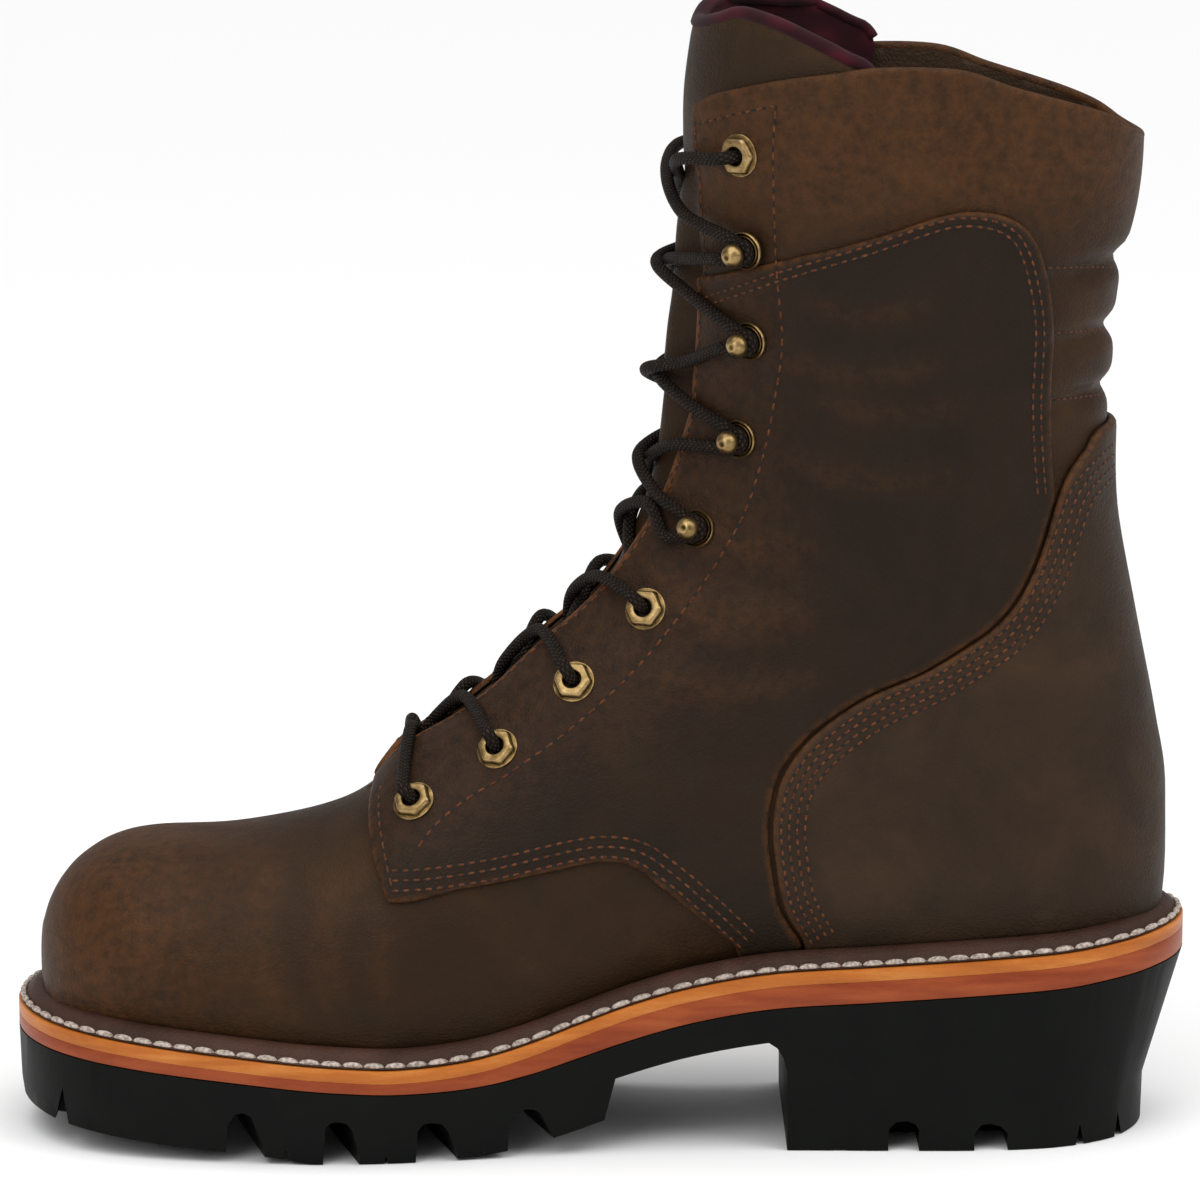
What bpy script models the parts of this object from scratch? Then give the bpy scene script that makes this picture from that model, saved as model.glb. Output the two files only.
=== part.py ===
"""Left logger boot, nine inches high.

Lugged rubber sole with a high heel, two leather midsoles, welt, hollow leather upper with
lapped quarters and counter, tongue, insole, eyelets, speed hooks and lace crossings.
Metres, +Z up, toe towards -X, outer side of the foot at -Y. The origin lies on the floor
under the middle of the heel.
"""

import math

import bmesh
import bpy
from mathutils import Matrix, Vector
from mathutils.bvhtree import BVHTree

MM = 0.001

# Driving sizes of the foot and the boot
SOLE_LENGTH = 314.4 * MM
HEEL_SEAT = 62.2 * MM
BALL_WIDTH = 110 * MM
INSTEP_HEIGHT = 112 * MM
SHAFT_HEIGHT = 130 * MM
HEEL_PITCH = 26 * MM
TOE_SPRING = 8 * MM

# Thicknesses, each set by itself
GAP = 0.3 * MM
TREAD_DEPTH = 13.5 * MM
RUBBER_BASE = 5.9 * MM
WAIST_RUBBER = 9.0 * MM
LOWER_MIDSOLE = 2.6 * MM
LOWER_WEDGE = 2.9 * MM
UPPER_MIDSOLE = 3.4 * MM
WELT_THICKNESS = 2.2 * MM
RAND_HEIGHT = 1.6 * MM
WALL = 2.4 * MM
QUARTER_THICKNESS = 1.8 * MM
COUNTER_THICKNESS = 2.3 * MM
TONGUE_THICKNESS = 3.0 * MM
INSOLE_THICKNESS = 3.0 * MM

# Insets from the edge of the sole
WELT_EDGE = 0.5 * MM
RAND_OUTER = 3.4 * MM
RAND_INNER = 5.6 * MM
WELT_INNER = 13.0 * MM
SOLE_TUCK = 10 * MM
FOOT_CLEAR = 2.6 * MM
FOOT_BLEND = 3.0 * MM
FOOT_FLARE = 0.45
FOOT_LAPPED = 0.50
FOOT_FADE = 0.08
KNEE_HEIGHT = 12.7 * MM

# Hardware and lace
EYELET_RADIUS = 5.4 * MM
EYELET_HEX = 4.5 * MM
EYELET_HOLE = 3.0 * MM
EYELET_HEIGHT = 1.5 * MM
HOOK_BASE = 4.7 * MM
HOOK_BALL = 3.05 * MM
HOOK_STEM = 1.7 * MM
HOOK_HEIGHT = 8.6 * MM
HOOK_STEPS = 8
HARDWARE_GAP = 0.5 * MM
LACE_RADIUS = 1.9 * MM
LACE_LIFT = 1.3 * MM
LACE_START = 0.42
LACE_TURN = 0.1
LACE_BOW = 1.0
LACE_APART = 2.6 * MM

# Angles of the points round a section, in degrees from its front to its back
HALF_RING = (0, 7, 14, 24, 42, 66, 90, 114, 137, 159, 180)
RING = HALF_RING + tuple(360 - angle for angle in HALF_RING[-2:0:-1])
TONGUE_REACH = 6
TONGUE_WINDOW = 14
QUILT_DEPTH = 3.0 * MM
QUILT_SPREAD = 3.2 * MM

# Plan outline of the sole. station: share of the length from the back of the heel.
# outer, inner: half widths as shares of the ball width. knee, foot: how far the rubber
# tucks in at the knee height and at the floor, as shares of the sole tuck.
OUTLINE = [
    # station, outer, inner, knee, foot
    (0.000, 0.030, 0.030, 1.02, 1.06),
    (0.008, 0.118, 0.118, 1.00, 1.04),
    (0.023, 0.191, 0.191, 0.90, 0.95),
    (0.051, 0.268, 0.268, 0.65, 0.72),
    (0.104, 0.334, 0.329, 0.35, 0.45),
    (0.165, 0.355, 0.350, 0.20, 0.30),
    (0.254, 0.359, 0.345, 0.20, 0.30),
    (0.352, 0.355, 0.323, 0.20, 0.30),
    (0.451, 0.368, 0.318, 0.15, 0.30),
    (0.520, 0.395, 0.355, 0.12, 0.35),
    (0.599, 0.445, 0.427, 0.12, 0.45),
    (0.677, 0.486, 0.482, 0.12, 0.50),
    (0.739, 0.495, 0.509, 0.12, 0.50),
    (0.796, 0.475, 0.507, 0.12, 0.45),
    (0.850, 0.450, 0.482, 0.10, 0.40),
    (0.893, 0.416, 0.447, 0.08, 0.35),
    (0.930, 0.366, 0.394, 0.06, 0.30),
    (0.961, 0.293, 0.325, 0.05, 0.25),
    (0.983, 0.201, 0.237, 0.05, 0.25),
    (0.995, 0.109, 0.136, 0.05, 0.25),
    (1.000, 0.025, 0.035, 0.05, 0.25),
]

# Side profile of the top of the sole. pitch: share of the heel pitch, spring: share of
# the toe spring, wedge: share of the extra thickness of the lower midsole.
PROFILE = [
    # station, pitch, spring, wedge
    (0.000, 1.220, 0.00, 1.00),
    (0.056, 1.135, 0.00, 1.00),
    (0.106, 1.065, 0.00, 1.00),
    (0.184, 1.000, 0.00, 1.00),
    (0.273, 0.930, 0.00, 1.00),
    (0.357, 0.860, 0.00, 1.00),
    (0.421, 0.730, 0.00, 1.00),
    (0.470, 0.575, 0.00, 1.00),
    (0.520, 0.370, 0.00, 0.85),
    (0.559, 0.205, 0.00, 0.60),
    (0.608, 0.060, 0.00, 0.25),
    (0.668, 0.000, 0.00, 0.00),
    (0.717, 0.000, 0.09, 0.00),
    (0.776, 0.000, 0.26, 0.00),
    (0.845, 0.000, 0.50, 0.05),
    (0.914, 0.000, 0.74, 0.12),
    (1.000, 0.000, 1.02, 0.23),
]

# Underside of the forefoot, toe to waist, as shares of toe spring and heel pitch.
UNDERSIDE = [
    # station, spring, pitch
    (1.042, 1.25, 0.000),
    (0.993, 1.06, 0.000),
    (0.949, 0.83, 0.000),
    (0.860, 0.50, 0.000),
    (0.773, 0.20, 0.000),
    (0.737, 0.00, 0.000),
    (0.637, 0.00, 0.000),
    (0.611, 0.00, 0.030),
    (0.573, 0.00, 0.085),
    (0.527, 0.00, 0.235),
    (0.487, 0.00, 0.400),
]
WAIST_FRONT = 0.487
WAIST_BACK = 0.360
HEEL_BREAST = 0.342

# Channels between the lugs of the forefoot, seen from the outer side.
CHANNELS = [
    # station of the toe side, station of the heel side at the floor, depth share
    (0.813, 0.780, 0.90),
    (0.732, 0.700, 1.00),
    (0.652, 0.616, 0.97),
    (0.570, 0.527, 0.98),
]
CHANNEL_SKEW = 14 * MM

# Pockets in the edge of the heel.
HEEL_POCKETS = [
    # station of the toe side, station of the heel side, depth into the heel, height
    (0.261, 0.234, 17 * MM, 9.3 * MM),
    (0.190, 0.162, 17 * MM, 9.3 * MM),
    (0.110, 0.094, 8 * MM, 7.0 * MM),
]

# Sections of the upper, toe to above the collar. Each runs in a plane across the boot,
# from a front point to a back point. front, back: station and level, where level 0 to 1
# is the instep height and 1 to 2 the shaft height, measured up from the sole below.
# outer, inner: half widths as shares of the ball width. seat: where the widest level
# lies, as a share from back to front. round_front, round_back: superellipse powers.
# gap: half width of the throat as a share of the ball width.
SECTIONS = [
    # front st, level, back st, level, outer, inner, seat, round_front, round_back, gap
    (0.978, 0.187, 0.978, 0.039, 0.080, 0.090, 0.50, 2.2, 2.2, 0.000),
    (0.972, 0.241, 0.972, -0.049, 0.148, 0.166, 0.55, 2.2, 2.2, 0.000),
    (0.962, 0.293, 0.962, -0.136, 0.215, 0.234, 0.57, 2.3, 2.3, 0.000),
    (0.946, 0.344, 0.946, -0.194, 0.282, 0.305, 0.57, 2.3, 2.4, 0.000),
    (0.920, 0.392, 0.920, -0.215, 0.341, 0.373, 0.57, 2.3, 2.6, 0.000),
    (0.885, 0.421, 0.885, -0.220, 0.391, 0.423, 0.56, 2.3, 2.6, 0.000),
    (0.815, 0.449, 0.815, -0.222, 0.431, 0.466, 0.53, 2.2, 2.6, 0.000),
    (0.739, 0.512, 0.739, -0.221, 0.443, 0.472, 0.50, 2.1, 2.6, 0.000),
    (0.697, 0.577, 0.691, -0.217, 0.441, 0.461, 0.49, 2.1, 2.6, 0.020),
    (0.666, 0.683, 0.640, -0.225, 0.429, 0.438, 0.47, 2.1, 2.6, 0.050),
    (0.623, 0.755, 0.586, -0.234, 0.410, 0.406, 0.45, 2.1, 2.6, 0.070),
    (0.588, 0.819, 0.529, -0.220, 0.388, 0.370, 0.42, 2.1, 2.6, 0.080),
    (0.549, 0.903, 0.465, -0.227, 0.366, 0.343, 0.40, 2.1, 2.6, 0.088),
    (0.522, 0.949, 0.389, -0.239, 0.349, 0.326, 0.38, 2.1, 2.6, 0.092),
    (0.497, 1.008, 0.306, -0.228, 0.336, 0.318, 0.37, 2.1, 2.5, 0.095),
    (0.475, 1.077, 0.210, -0.210, 0.328, 0.318, 0.37, 2.1, 2.5, 0.097),
    (0.460, 1.142, 0.104, -0.160, 0.323, 0.318, 0.38, 2.1, 2.4, 0.099),
    (0.449, 1.201, 0.034, -0.028, 0.323, 0.318, 0.40, 2.1, 2.4, 0.101),
    (0.431, 1.316, 0.025, 0.297, 0.327, 0.325, 0.45, 2.1, 2.3, 0.104),
    (0.428, 1.369, 0.035, 0.497, 0.336, 0.336, 0.47, 2.1, 2.3, 0.108),
    (0.425, 1.441, 0.053, 0.752, 0.348, 0.348, 0.48, 2.1, 2.2, 0.113),
    (0.423, 1.513, 0.070, 1.010, 0.362, 0.362, 0.50, 2.1, 2.2, 0.120),
    (0.424, 1.580, 0.072, 1.190, 0.377, 0.377, 0.50, 2.1, 2.2, 0.128),
    (0.426, 1.618, 0.069, 1.262, 0.386, 0.386, 0.50, 2.1, 2.2, 0.135),
    (0.428, 1.655, 0.068, 1.325, 0.394, 0.394, 0.50, 2.1, 2.2, 0.142),
    (0.430, 1.690, 0.067, 1.385, 0.401, 0.401, 0.50, 2.1, 2.2, 0.149),
    (0.432, 1.730, 0.065, 1.452, 0.409, 0.409, 0.50, 2.1, 2.2, 0.155),
    (0.433, 1.770, 0.060, 1.520, 0.418, 0.418, 0.50, 2.1, 2.2, 0.161),
    (0.438, 1.850, 0.049, 1.635, 0.431, 0.431, 0.50, 2.1, 2.2, 0.168),
    (0.438, 1.960, 0.045, 1.757, 0.441, 0.441, 0.50, 2.1, 2.2, 0.174),
    (0.428, 2.125, 0.047, 1.930, 0.445, 0.445, 0.50, 2.1, 2.2, 0.177),
]
TOE_TIP = (0.980, 0.112)
THROAT_SECTION = 8

# Side outlines as station and level.
COLLAR = [
    (0.520, 1.880), (0.427, 1.911), (0.407, 1.930), (0.358, 1.943), (0.314, 1.951),
    (0.273, 1.959), (0.209, 1.945), (0.168, 1.906), (0.127, 1.871), (0.095, 1.841),
    (0.071, 1.811), (0.045, 1.766), (-0.032, 1.700),
]
QUARTER_FRONT = [
    (0.697, 0.800), (0.688, 0.640), (0.692, 0.586), (0.693, 0.545), (0.689, 0.480),
    (0.677, 0.384),
]
QUARTER_BOTTOM = [
    (0.657, 0.386), (0.618, 0.404), (0.580, 0.401), (0.534, 0.386), (0.500, 0.369),
    (0.474, 0.335), (0.453, 0.273), (0.420, 0.174), (0.382, 0.060),
]
QUARTER_TOP = [
    (0.125, 1.075), (0.128, 1.160), (0.130, 1.275), (0.129, 1.428), (0.137, 1.543),
    (0.147, 1.606), (0.163, 1.646), (0.187, 1.667), (0.219, 1.668), (0.281, 1.627),
    (0.356, 1.587), (0.417, 1.562), (0.520, 1.530),
]
COUNTER_FRONT = [
    (-0.032, 1.195), (0.077, 1.192), (0.096, 1.159), (0.114, 1.111), (0.124, 1.050),
    (0.132, 0.984), (0.141, 0.918), (0.154, 0.851), (0.170, 0.800), (0.188, 0.763),
    (0.230, 0.695), (0.277, 0.642), (0.322, 0.558), (0.347, 0.471), (0.355, 0.382),
    (0.355, 0.298), (0.346, 0.159), (0.326, 0.054),
]
TONGUE_EDGE = [
    (0.520, 2.080), (0.414, 2.086), (0.395, 2.092), (0.363, 2.061), (0.337, 2.028),
    (0.303, 1.984), (0.280, 1.942), (0.288, 1.800), (0.313, 1.500), (0.352, 1.200),
    (0.421, 0.950), (0.520, 0.750), (0.618, 0.600), (0.687, 0.480),
]
# How far the tongue stands out between the facings, by section.
TONGUE_BULGE = [
    # section, bulge
    (8, 0.0 * MM),
    (14, 0.0 * MM),
    (15, 1.5 * MM),
    (17, 3.8 * MM),
    (18, 7.5 * MM),
    (20, 8.6 * MM),
    (22, 7.0 * MM),
    (24, 5.2 * MM),
    (26, 2.9 * MM),
    (28, 0.3 * MM),
    (30, 0.0 * MM),
]
# Notches between the quilted rolls at the back of the collar, as levels.
QUILT_LEVELS = (1.262, 1.385, 1.520)
QUILT_FRONT = (0.145, 0.091)

# Hardware of one side, low to high.
EYELETS = [
    (0.656, 0.604), (0.586, 0.699), (0.522, 0.797), (0.462, 0.910), (0.386, 1.807),
]
HOOKS = [
    (0.419, 1.059), (0.384, 1.231), (0.376, 1.431), (0.380, 1.616),
]


def clear_scene():
    """Remove what a fresh file holds."""
    for thing in list(bpy.data.objects):
        bpy.data.objects.remove(thing, do_unlink=True)


def new_collection(name):
    """A collection linked to the scene."""
    group = bpy.data.collections.new(name)
    bpy.context.scene.collection.children.link(group)
    return group


def material(name, colour, roughness, metallic=0.0):
    """A Principled material from an sRGB hex colour."""
    channels = [int(colour[i:i + 2], 16) / 255 for i in (1, 3, 5)]
    linear = [c / 12.92 if c <= 0.04045 else ((c + 0.055) / 1.055) ** 2.4 for c in channels]
    finish = bpy.data.materials.new(name)
    finish.use_nodes = True
    shader = finish.node_tree.nodes["Principled BSDF"]
    shader.inputs["Base Color"].default_value = (*linear, 1.0)
    shader.inputs["Roughness"].default_value = roughness
    shader.inputs["Metallic"].default_value = metallic
    return finish


def read_table(table, column, place):
    """Smooth value of a table's column at a place along its first column."""
    rows = table if table[0][0] < table[-1][0] else table[::-1]
    keys = [row[0] for row in rows]
    values = [row[column] for row in rows]
    place = min(max(place, keys[0]), keys[-1])
    last = len(keys) - 1
    i = next((k for k in range(last) if place <= keys[k + 1]), last - 1)

    def slope(k):
        before, after = max(k - 1, 0), min(k + 1, last)
        return (values[after] - values[before]) / (keys[after] - keys[before])

    span = keys[i + 1] - keys[i]
    t = (place - keys[i]) / span
    rise = values[i + 1] - values[i]
    start, end = slope(i) * span, slope(i + 1) * span
    return (values[i] + t * start
            + t * t * (3 * rise - 2 * start - end)
            + t * t * t * (start + end - 2 * rise))


def station_x(station):
    """World x of a station along the sole."""
    return HEEL_SEAT - station * SOLE_LENGTH


def x_station(x):
    """Station along the sole of a world x."""
    return (HEEL_SEAT - x) / SOLE_LENGTH


BALL_STACK = (TREAD_DEPTH + RUBBER_BASE + LOWER_MIDSOLE + UPPER_MIDSOLE + 2 * GAP)


def sole_top(x):
    """Height of the upper midsole's top."""
    s = x_station(x)
    return (BALL_STACK + HEEL_PITCH * read_table(PROFILE, 1, s)
            + TOE_SPRING * read_table(PROFILE, 2, s))


def rubber_top(x):
    """Height of the rubber's top, under both midsoles."""
    wedge = LOWER_WEDGE * read_table(PROFILE, 3, x_station(x))
    return sole_top(x) - UPPER_MIDSOLE - LOWER_MIDSOLE - wedge - 2 * GAP


def upper_foot(x):
    """Height at which the upper stands, on the welt."""
    return sole_top(x) + WELT_THICKNESS + 2 * GAP


def side_point(station, level):
    """Side view place of a station and a level, as x and z."""
    x = station_x(station)
    rise = INSTEP_HEIGHT * min(level, 1.0) + SHAFT_HEIGHT * max(level - 1.0, 0.0)
    return x, sole_top(x) + rise


def mesh_object(name, mesh_data, group, finish=None):
    """Turn a bmesh into a named object of a collection."""
    bmesh.ops.recalc_face_normals(mesh_data, faces=mesh_data.faces)
    mesh = bpy.data.meshes.new(name)
    mesh_data.to_mesh(mesh)
    mesh_data.free()
    thing = bpy.data.objects.new(name, mesh)
    group.objects.link(thing)
    if finish:
        mesh.materials.append(finish)
    return thing


def shade_round(thing, degrees=35):
    """Smooth shading with sharp edges kept."""
    thing.data.shade_smooth()
    thing.data.set_sharp_from_angle(angle=math.radians(degrees))


def cutter_object(name, mesh_data):
    """A hidden helper shape for a Boolean."""
    thing = mesh_object(name, mesh_data, CUTTERS)
    thing.hide_render = True
    thing.display_type = "WIRE"
    return thing


def boolean(thing, cutter, operation):
    """Add an exact Boolean to an object."""
    cut = thing.modifiers.new(operation.title(), "BOOLEAN")
    cut.operation = operation
    cut.solver = "EXACT"
    cut.object = cutter


def outline_loop(inset=0.0, tuck_column=None):
    """Closed plan outline of the sole: outer side heel to toe, then inner side back."""
    outer, inner = [], []
    for row in OUTLINE:
        x = station_x(row[0])
        outer.append(Vector((x, -row[1] * BALL_WIDTH)))
        inner.append(Vector((x, row[2] * BALL_WIDTH)))
    loop = outer + inner[::-1]
    rows = OUTLINE + OUTLINE[::-1]
    moved = []
    for i, point in enumerate(loop):
        along = loop[(i + 1) % len(loop)] - loop[i - 1]
        inward = Vector((along.y, -along.x)).normalized()
        depth = inset + (rows[i][tuck_column] * SOLE_TUCK if tuck_column else 0.0)
        moved.append(point + inward * depth)
    return moved


def raise_loop(loop, height):
    """Give each point of a plan outline its height."""
    return [Vector((p.x, p.y, height(p.x))) for p in loop]


def slab(loops):
    """Closed solid through outline loops, capped across in strips."""
    shape = bmesh.new()
    rings = [[shape.verts.new(p) for p in loop] for loop in loops]
    count = len(rings[0])
    for above, below in zip(rings, rings[1:]):
        for i in range(count):
            j = (i + 1) % count
            shape.faces.new((above[i], above[j], below[j], below[i]))
    for ring in (rings[0], rings[-1]):
        for i in range(count // 2 - 1):
            shape.faces.new((ring[i], ring[i + 1], ring[-2 - i], ring[-1 - i]))
    return shape


def side_prism(points, y_from, y_to):
    """Solid with an outline in the side view, from one y to another."""
    shape = bmesh.new()
    near = [shape.verts.new((x, y_from, z)) for x, z in points]
    far = [shape.verts.new((x, y_to, z)) for x, z in points]
    shape.faces.new(near)
    shape.faces.new(far[::-1])
    for i in range(len(points)):
        j = (i + 1) % len(points)
        shape.faces.new((near[i], far[i], far[j], near[j]))
    return shape


def make_midsoles():
    """The light upper layer and the reddish lower layer, one above the other."""
    layers = [
        ("midsole_upper", "#C07A35", sole_top, lambda x: sole_top(x) - UPPER_MIDSOLE),
        ("midsole_lower", "#A4532C", lambda x: sole_top(x) - UPPER_MIDSOLE - GAP,
         lambda x: rubber_top(x) + GAP),
    ]
    for name, colour, above, below in layers:
        loop = outline_loop()
        shape = slab([raise_loop(loop, above), raise_loop(loop, below)])
        layer = mesh_object(name, shape, BOOT, material(name, colour, 0.45))
        shade_round(layer)


def sole_side():
    """Side outline of the rubber: top line, forefoot, waist and heel."""
    end = 0.05
    top = [1.0 + end] + [row[0] for row in OUTLINE[::-1]] + [-end]
    points = [(station_x(s), rubber_top(station_x(s))) for s in top]
    floor = [(station_x(-end), 0.0), (station_x(HEEL_BREAST), 0.0)]
    breast = station_x(HEEL_BREAST)
    arch = rubber_top(breast) - WAIST_RUBBER
    radius = abs(station_x(WAIST_BACK) - breast)
    floor.append((breast, arch - 2.2 * radius))
    floor.append((breast - 0.1 * radius, arch - 1.2 * radius))
    floor.append((breast - 0.4 * radius, arch - 0.45 * radius))
    waist_steps = 6
    for i in range(waist_steps + 1):
        s = WAIST_BACK + (WAIST_FRONT - WAIST_BACK) * i / waist_steps
        floor.append((station_x(s), rubber_top(station_x(s)) - WAIST_RUBBER))
    for s, spring, pitch in UNDERSIDE[::-1]:
        floor.append((station_x(s), spring * TOE_SPRING + pitch * HEEL_PITCH))
    return points + floor


def channel_arch(toe_side, heel_side, height, reach):
    """Arched outline of a channel: upright toe wall, sloping heel wall."""
    a, b = station_x(toe_side), station_x(heel_side)
    top = a + 0.66 * (b - a)
    return [
        (a, -reach), (a, height - 0.30 * (top - a)), (a + 0.18 * (top - a), height * 0.97),
        (a + 0.5 * (top - a), height), (a + 0.82 * (top - a), height * 0.95),
        (top, height - 0.45 * (top - a)), (b, 0.0), (b, -reach),
    ]


def add_channel(shape, arch, offsets):
    """Add one channel solid: its arch moved along x at each y."""
    rings = []
    for y, shift in offsets:
        rings.append([shape.verts.new((x + shift, y, z)) for x, z in arch])
    shape.faces.new(rings[0])
    shape.faces.new(rings[-1][::-1])
    for first, second in zip(rings, rings[1:]):
        for i in range(len(arch)):
            j = (i + 1) % len(arch)
            shape.faces.new((first[i], second[i], second[j], first[j]))


def make_outsole():
    """Rubber sole and heel in one: tapered outline, side profile, lug channels."""
    knee = outline_loop(tuck_column=3)
    foot = outline_loop(tuck_column=4)
    shape = slab([
        raise_loop(outline_loop(), lambda x: rubber_top(x) + WALL),
        raise_loop(knee, lambda x: KNEE_HEIGHT),
        raise_loop(foot, lambda x: -WALL),
    ])
    sole = mesh_object("outsole", shape, BOOT, material("outsole", "#1B1D1A", 0.6))
    side = cutter_object("sole_side", side_prism(sole_side(), -BALL_WIDTH, BALL_WIDTH))
    boolean(sole, side, "INTERSECT")
    cuts = bmesh.new()
    edge = 0.55 * BALL_WIDTH
    for toe_side, heel_side, share in CHANNELS:
        arch = channel_arch(toe_side, heel_side, share * TREAD_DEPTH, WALL)
        lift = rubber_top(station_x(toe_side)) - RUBBER_BASE - TREAD_DEPTH
        arch = [(x, z + max(lift, 0.0)) if z > 0 else (x, z) for x, z in arch]
        add_channel(cuts, arch, [(-edge, 0.0), (0.0, -CHANNEL_SKEW), (edge, 0.0)])
    heel_edge = 0.38 * BALL_WIDTH
    for toe_side, heel_side, depth, height in HEEL_POCKETS:
        arch = channel_arch(toe_side, heel_side, height, WALL)
        wall = read_table(OUTLINE, 1, toe_side) * BALL_WIDTH
        for side_sign in (-1, 1):
            ends = [(side_sign * heel_edge, 0.0), (side_sign * (wall - depth), 0.0)]
            add_channel(cuts, arch, ends)
    boolean(sole, cutter_object("lug_channels", cuts), "DIFFERENCE")
    shade_round(sole)


def make_welt():
    """Flat strip all round with the raised rand beside the upper."""
    flat = WELT_THICKNESS + GAP
    heights = [
        (WELT_EDGE, GAP), (WELT_EDGE, flat), (RAND_OUTER, flat),
        (0.5 * (RAND_OUTER + RAND_INNER), flat + RAND_HEIGHT),
        (RAND_INNER, flat), (WELT_INNER, flat), (WELT_INNER, GAP),
    ]
    shape = bmesh.new()
    rings = []
    for inset, height in heights:
        loop = raise_loop(outline_loop(inset), lambda x, h=height: sole_top(x) + h)
        rings.append([shape.verts.new(p) for p in loop])
    count = len(rings[0])
    for k, ring in enumerate(rings):
        after = rings[(k + 1) % len(rings)]
        for i in range(count):
            j = (i + 1) % count
            shape.faces.new((ring[i], ring[j], after[j], after[i]))
    welt = mesh_object("welt", shape, BOOT, material("welt", "#3C2A25", 0.5))
    shade_round(welt)


def section_frame(row):
    """Front point, back point and widest point of a section's row."""
    front_x, front_z = side_point(row[0], row[1])
    back_x, back_z = side_point(row[2], row[3])
    front = Vector((front_x, 0.0, front_z))
    back = Vector((back_x, 0.0, back_z))
    return front, back, back.lerp(front, row[6])


def soft_least(first, second, blend):
    """The smaller of two lengths, rounded over where they are alike."""
    share = min(max(0.5 + 0.5 * (second - first) / blend, 0.0), 1.0)
    return second + (first - second) * share - blend * share * (1.0 - share)


def foot_reach(x, z, column):
    """How far from the middle the upper may stand over the sole, by height."""
    station = x_station(x)
    lapped = min(max((FOOT_LAPPED - station) / FOOT_FADE, 0.0), 1.0)
    inset = RAND_INNER + FOOT_CLEAR + lapped * (COUNTER_THICKNESS + GAP)
    edge = read_table(OUTLINE, column, station) * BALL_WIDTH - inset
    return edge + FOOT_FLARE * max(z - upper_foot(x), 0.0)


def section_ring(row):
    """Points round one section: front, outer side, back, inner side."""
    front, back, middle = section_frame(row)
    ring = []
    for degrees in RING:
        angle = math.radians(degrees)
        ahead = math.cos(angle)
        aside = math.sin(angle)
        power = 2.0 / (row[7] if ahead >= 0 else row[8])
        reach = abs(ahead) ** power
        spread = abs(aside) ** power
        along = (front - middle) if ahead >= 0 else (back - middle)
        half = row[4] if aside >= 0 else row[5]
        side_sign = -1 if aside >= 0 else 1
        point = middle + along * reach
        most = foot_reach(point.x, point.z, 1 if aside >= 0 else 2)
        width = half * BALL_WIDTH * spread
        if abs(aside) > 0.01:
            width = max(soft_least(width, most, FOOT_BLEND), 0.0)
        ring.append(point + Vector((0.0, side_sign * width, 0.0)))
    return ring


def quilt(point):
    """Depth of the quilted notches at the back of the collar."""
    start, full = (station_x(s) for s in QUILT_FRONT)
    fade = min(max((point.x - start) / (full - start), 0.0), 1.0)
    depth = 0.0
    for level in QUILT_LEVELS:
        centre = side_point(x_station(point.x), level)[1]
        depth += math.exp(-((point.z - centre) / QUILT_SPREAD) ** 2)
    return QUILT_DEPTH * fade * depth


def upper_sheet(lift, first=None, bulge=None, reach=None):
    """Open sheet of the upper's own form, moved out along its normals by lift.

    first: section that the sheet starts at, or None for the closed toe.
    bulge: extra lift by section and angle. reach: points kept each side of the front.
    """
    shape = bmesh.new()
    rings = [[shape.verts.new(p) for p in section_ring(row)] for row in SECTIONS]
    tip_x, tip_z = side_point(*TOE_TIP)
    tip = shape.verts.new((tip_x, 0.0, tip_z))
    count = len(RING)
    for k in range(count):
        shape.faces.new((tip, rings[0][k], rings[0][(k + 1) % count]))
    for ring, after in zip(rings, rings[1:]):
        for k in range(count):
            j = (k + 1) % count
            shape.faces.new((ring[k], after[k], after[j], ring[j]))
    bmesh.ops.triangulate(shape, faces=shape.faces, quad_method="FIXED")
    bmesh.ops.recalc_face_normals(shape, faces=shape.faces)
    shape.normal_update()
    if tip.normal.x > 0:
        bmesh.ops.reverse_faces(shape, faces=shape.faces)
        shape.normal_update()
    moves = [(tip, tip.normal * lift)]
    for i, ring in enumerate(rings):
        for k, vert in enumerate(ring):
            extra = bulge(i, RING[k]) if bulge else -quilt(vert.co)
            moves.append((vert, vert.normal * (lift + extra)))
    for vert, move in moves:
        vert.co += move
    if first is not None:
        drop = [tip] + [v for ring in rings[:first] for v in ring]
        drop += [ring[k] for ring in rings[first:] for k in range(reach + 1, count - reach)]
        bmesh.ops.delete(shape, geom=list(set(drop)), context="VERTS")
    return shape


def sheet_object(name, shape, group, finish, thickness, side):
    """A sheet with Solidify: side 1 grows outwards, -1 inwards."""
    mesh = bpy.data.meshes.new(name)
    shape.to_mesh(mesh)
    shape.free()
    thing = bpy.data.objects.new(name, mesh)
    group.objects.link(thing)
    if finish:
        mesh.materials.append(finish)
    solid = thing.modifiers.new("Wall", "SOLIDIFY")
    solid.thickness = thickness
    solid.offset = side
    solid.use_even_offset = False
    return thing


def feather_line(lift=0.0):
    """Side view line on which the upper stands, heel to toe, run past both ends."""
    stations = [-0.08] + [row[0] for row in OUTLINE] + [1.08]
    return [(station_x(s), upper_foot(station_x(s)) + lift) for s in stations]


def last_form(lift):
    """Closed form of the foot inside the upper, up to above the collar."""
    shape = upper_sheet(lift)
    rim = [edge for edge in shape.edges if edge.is_boundary]
    bmesh.ops.edgeloop_fill(shape, edges=rim)
    return shape


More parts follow.
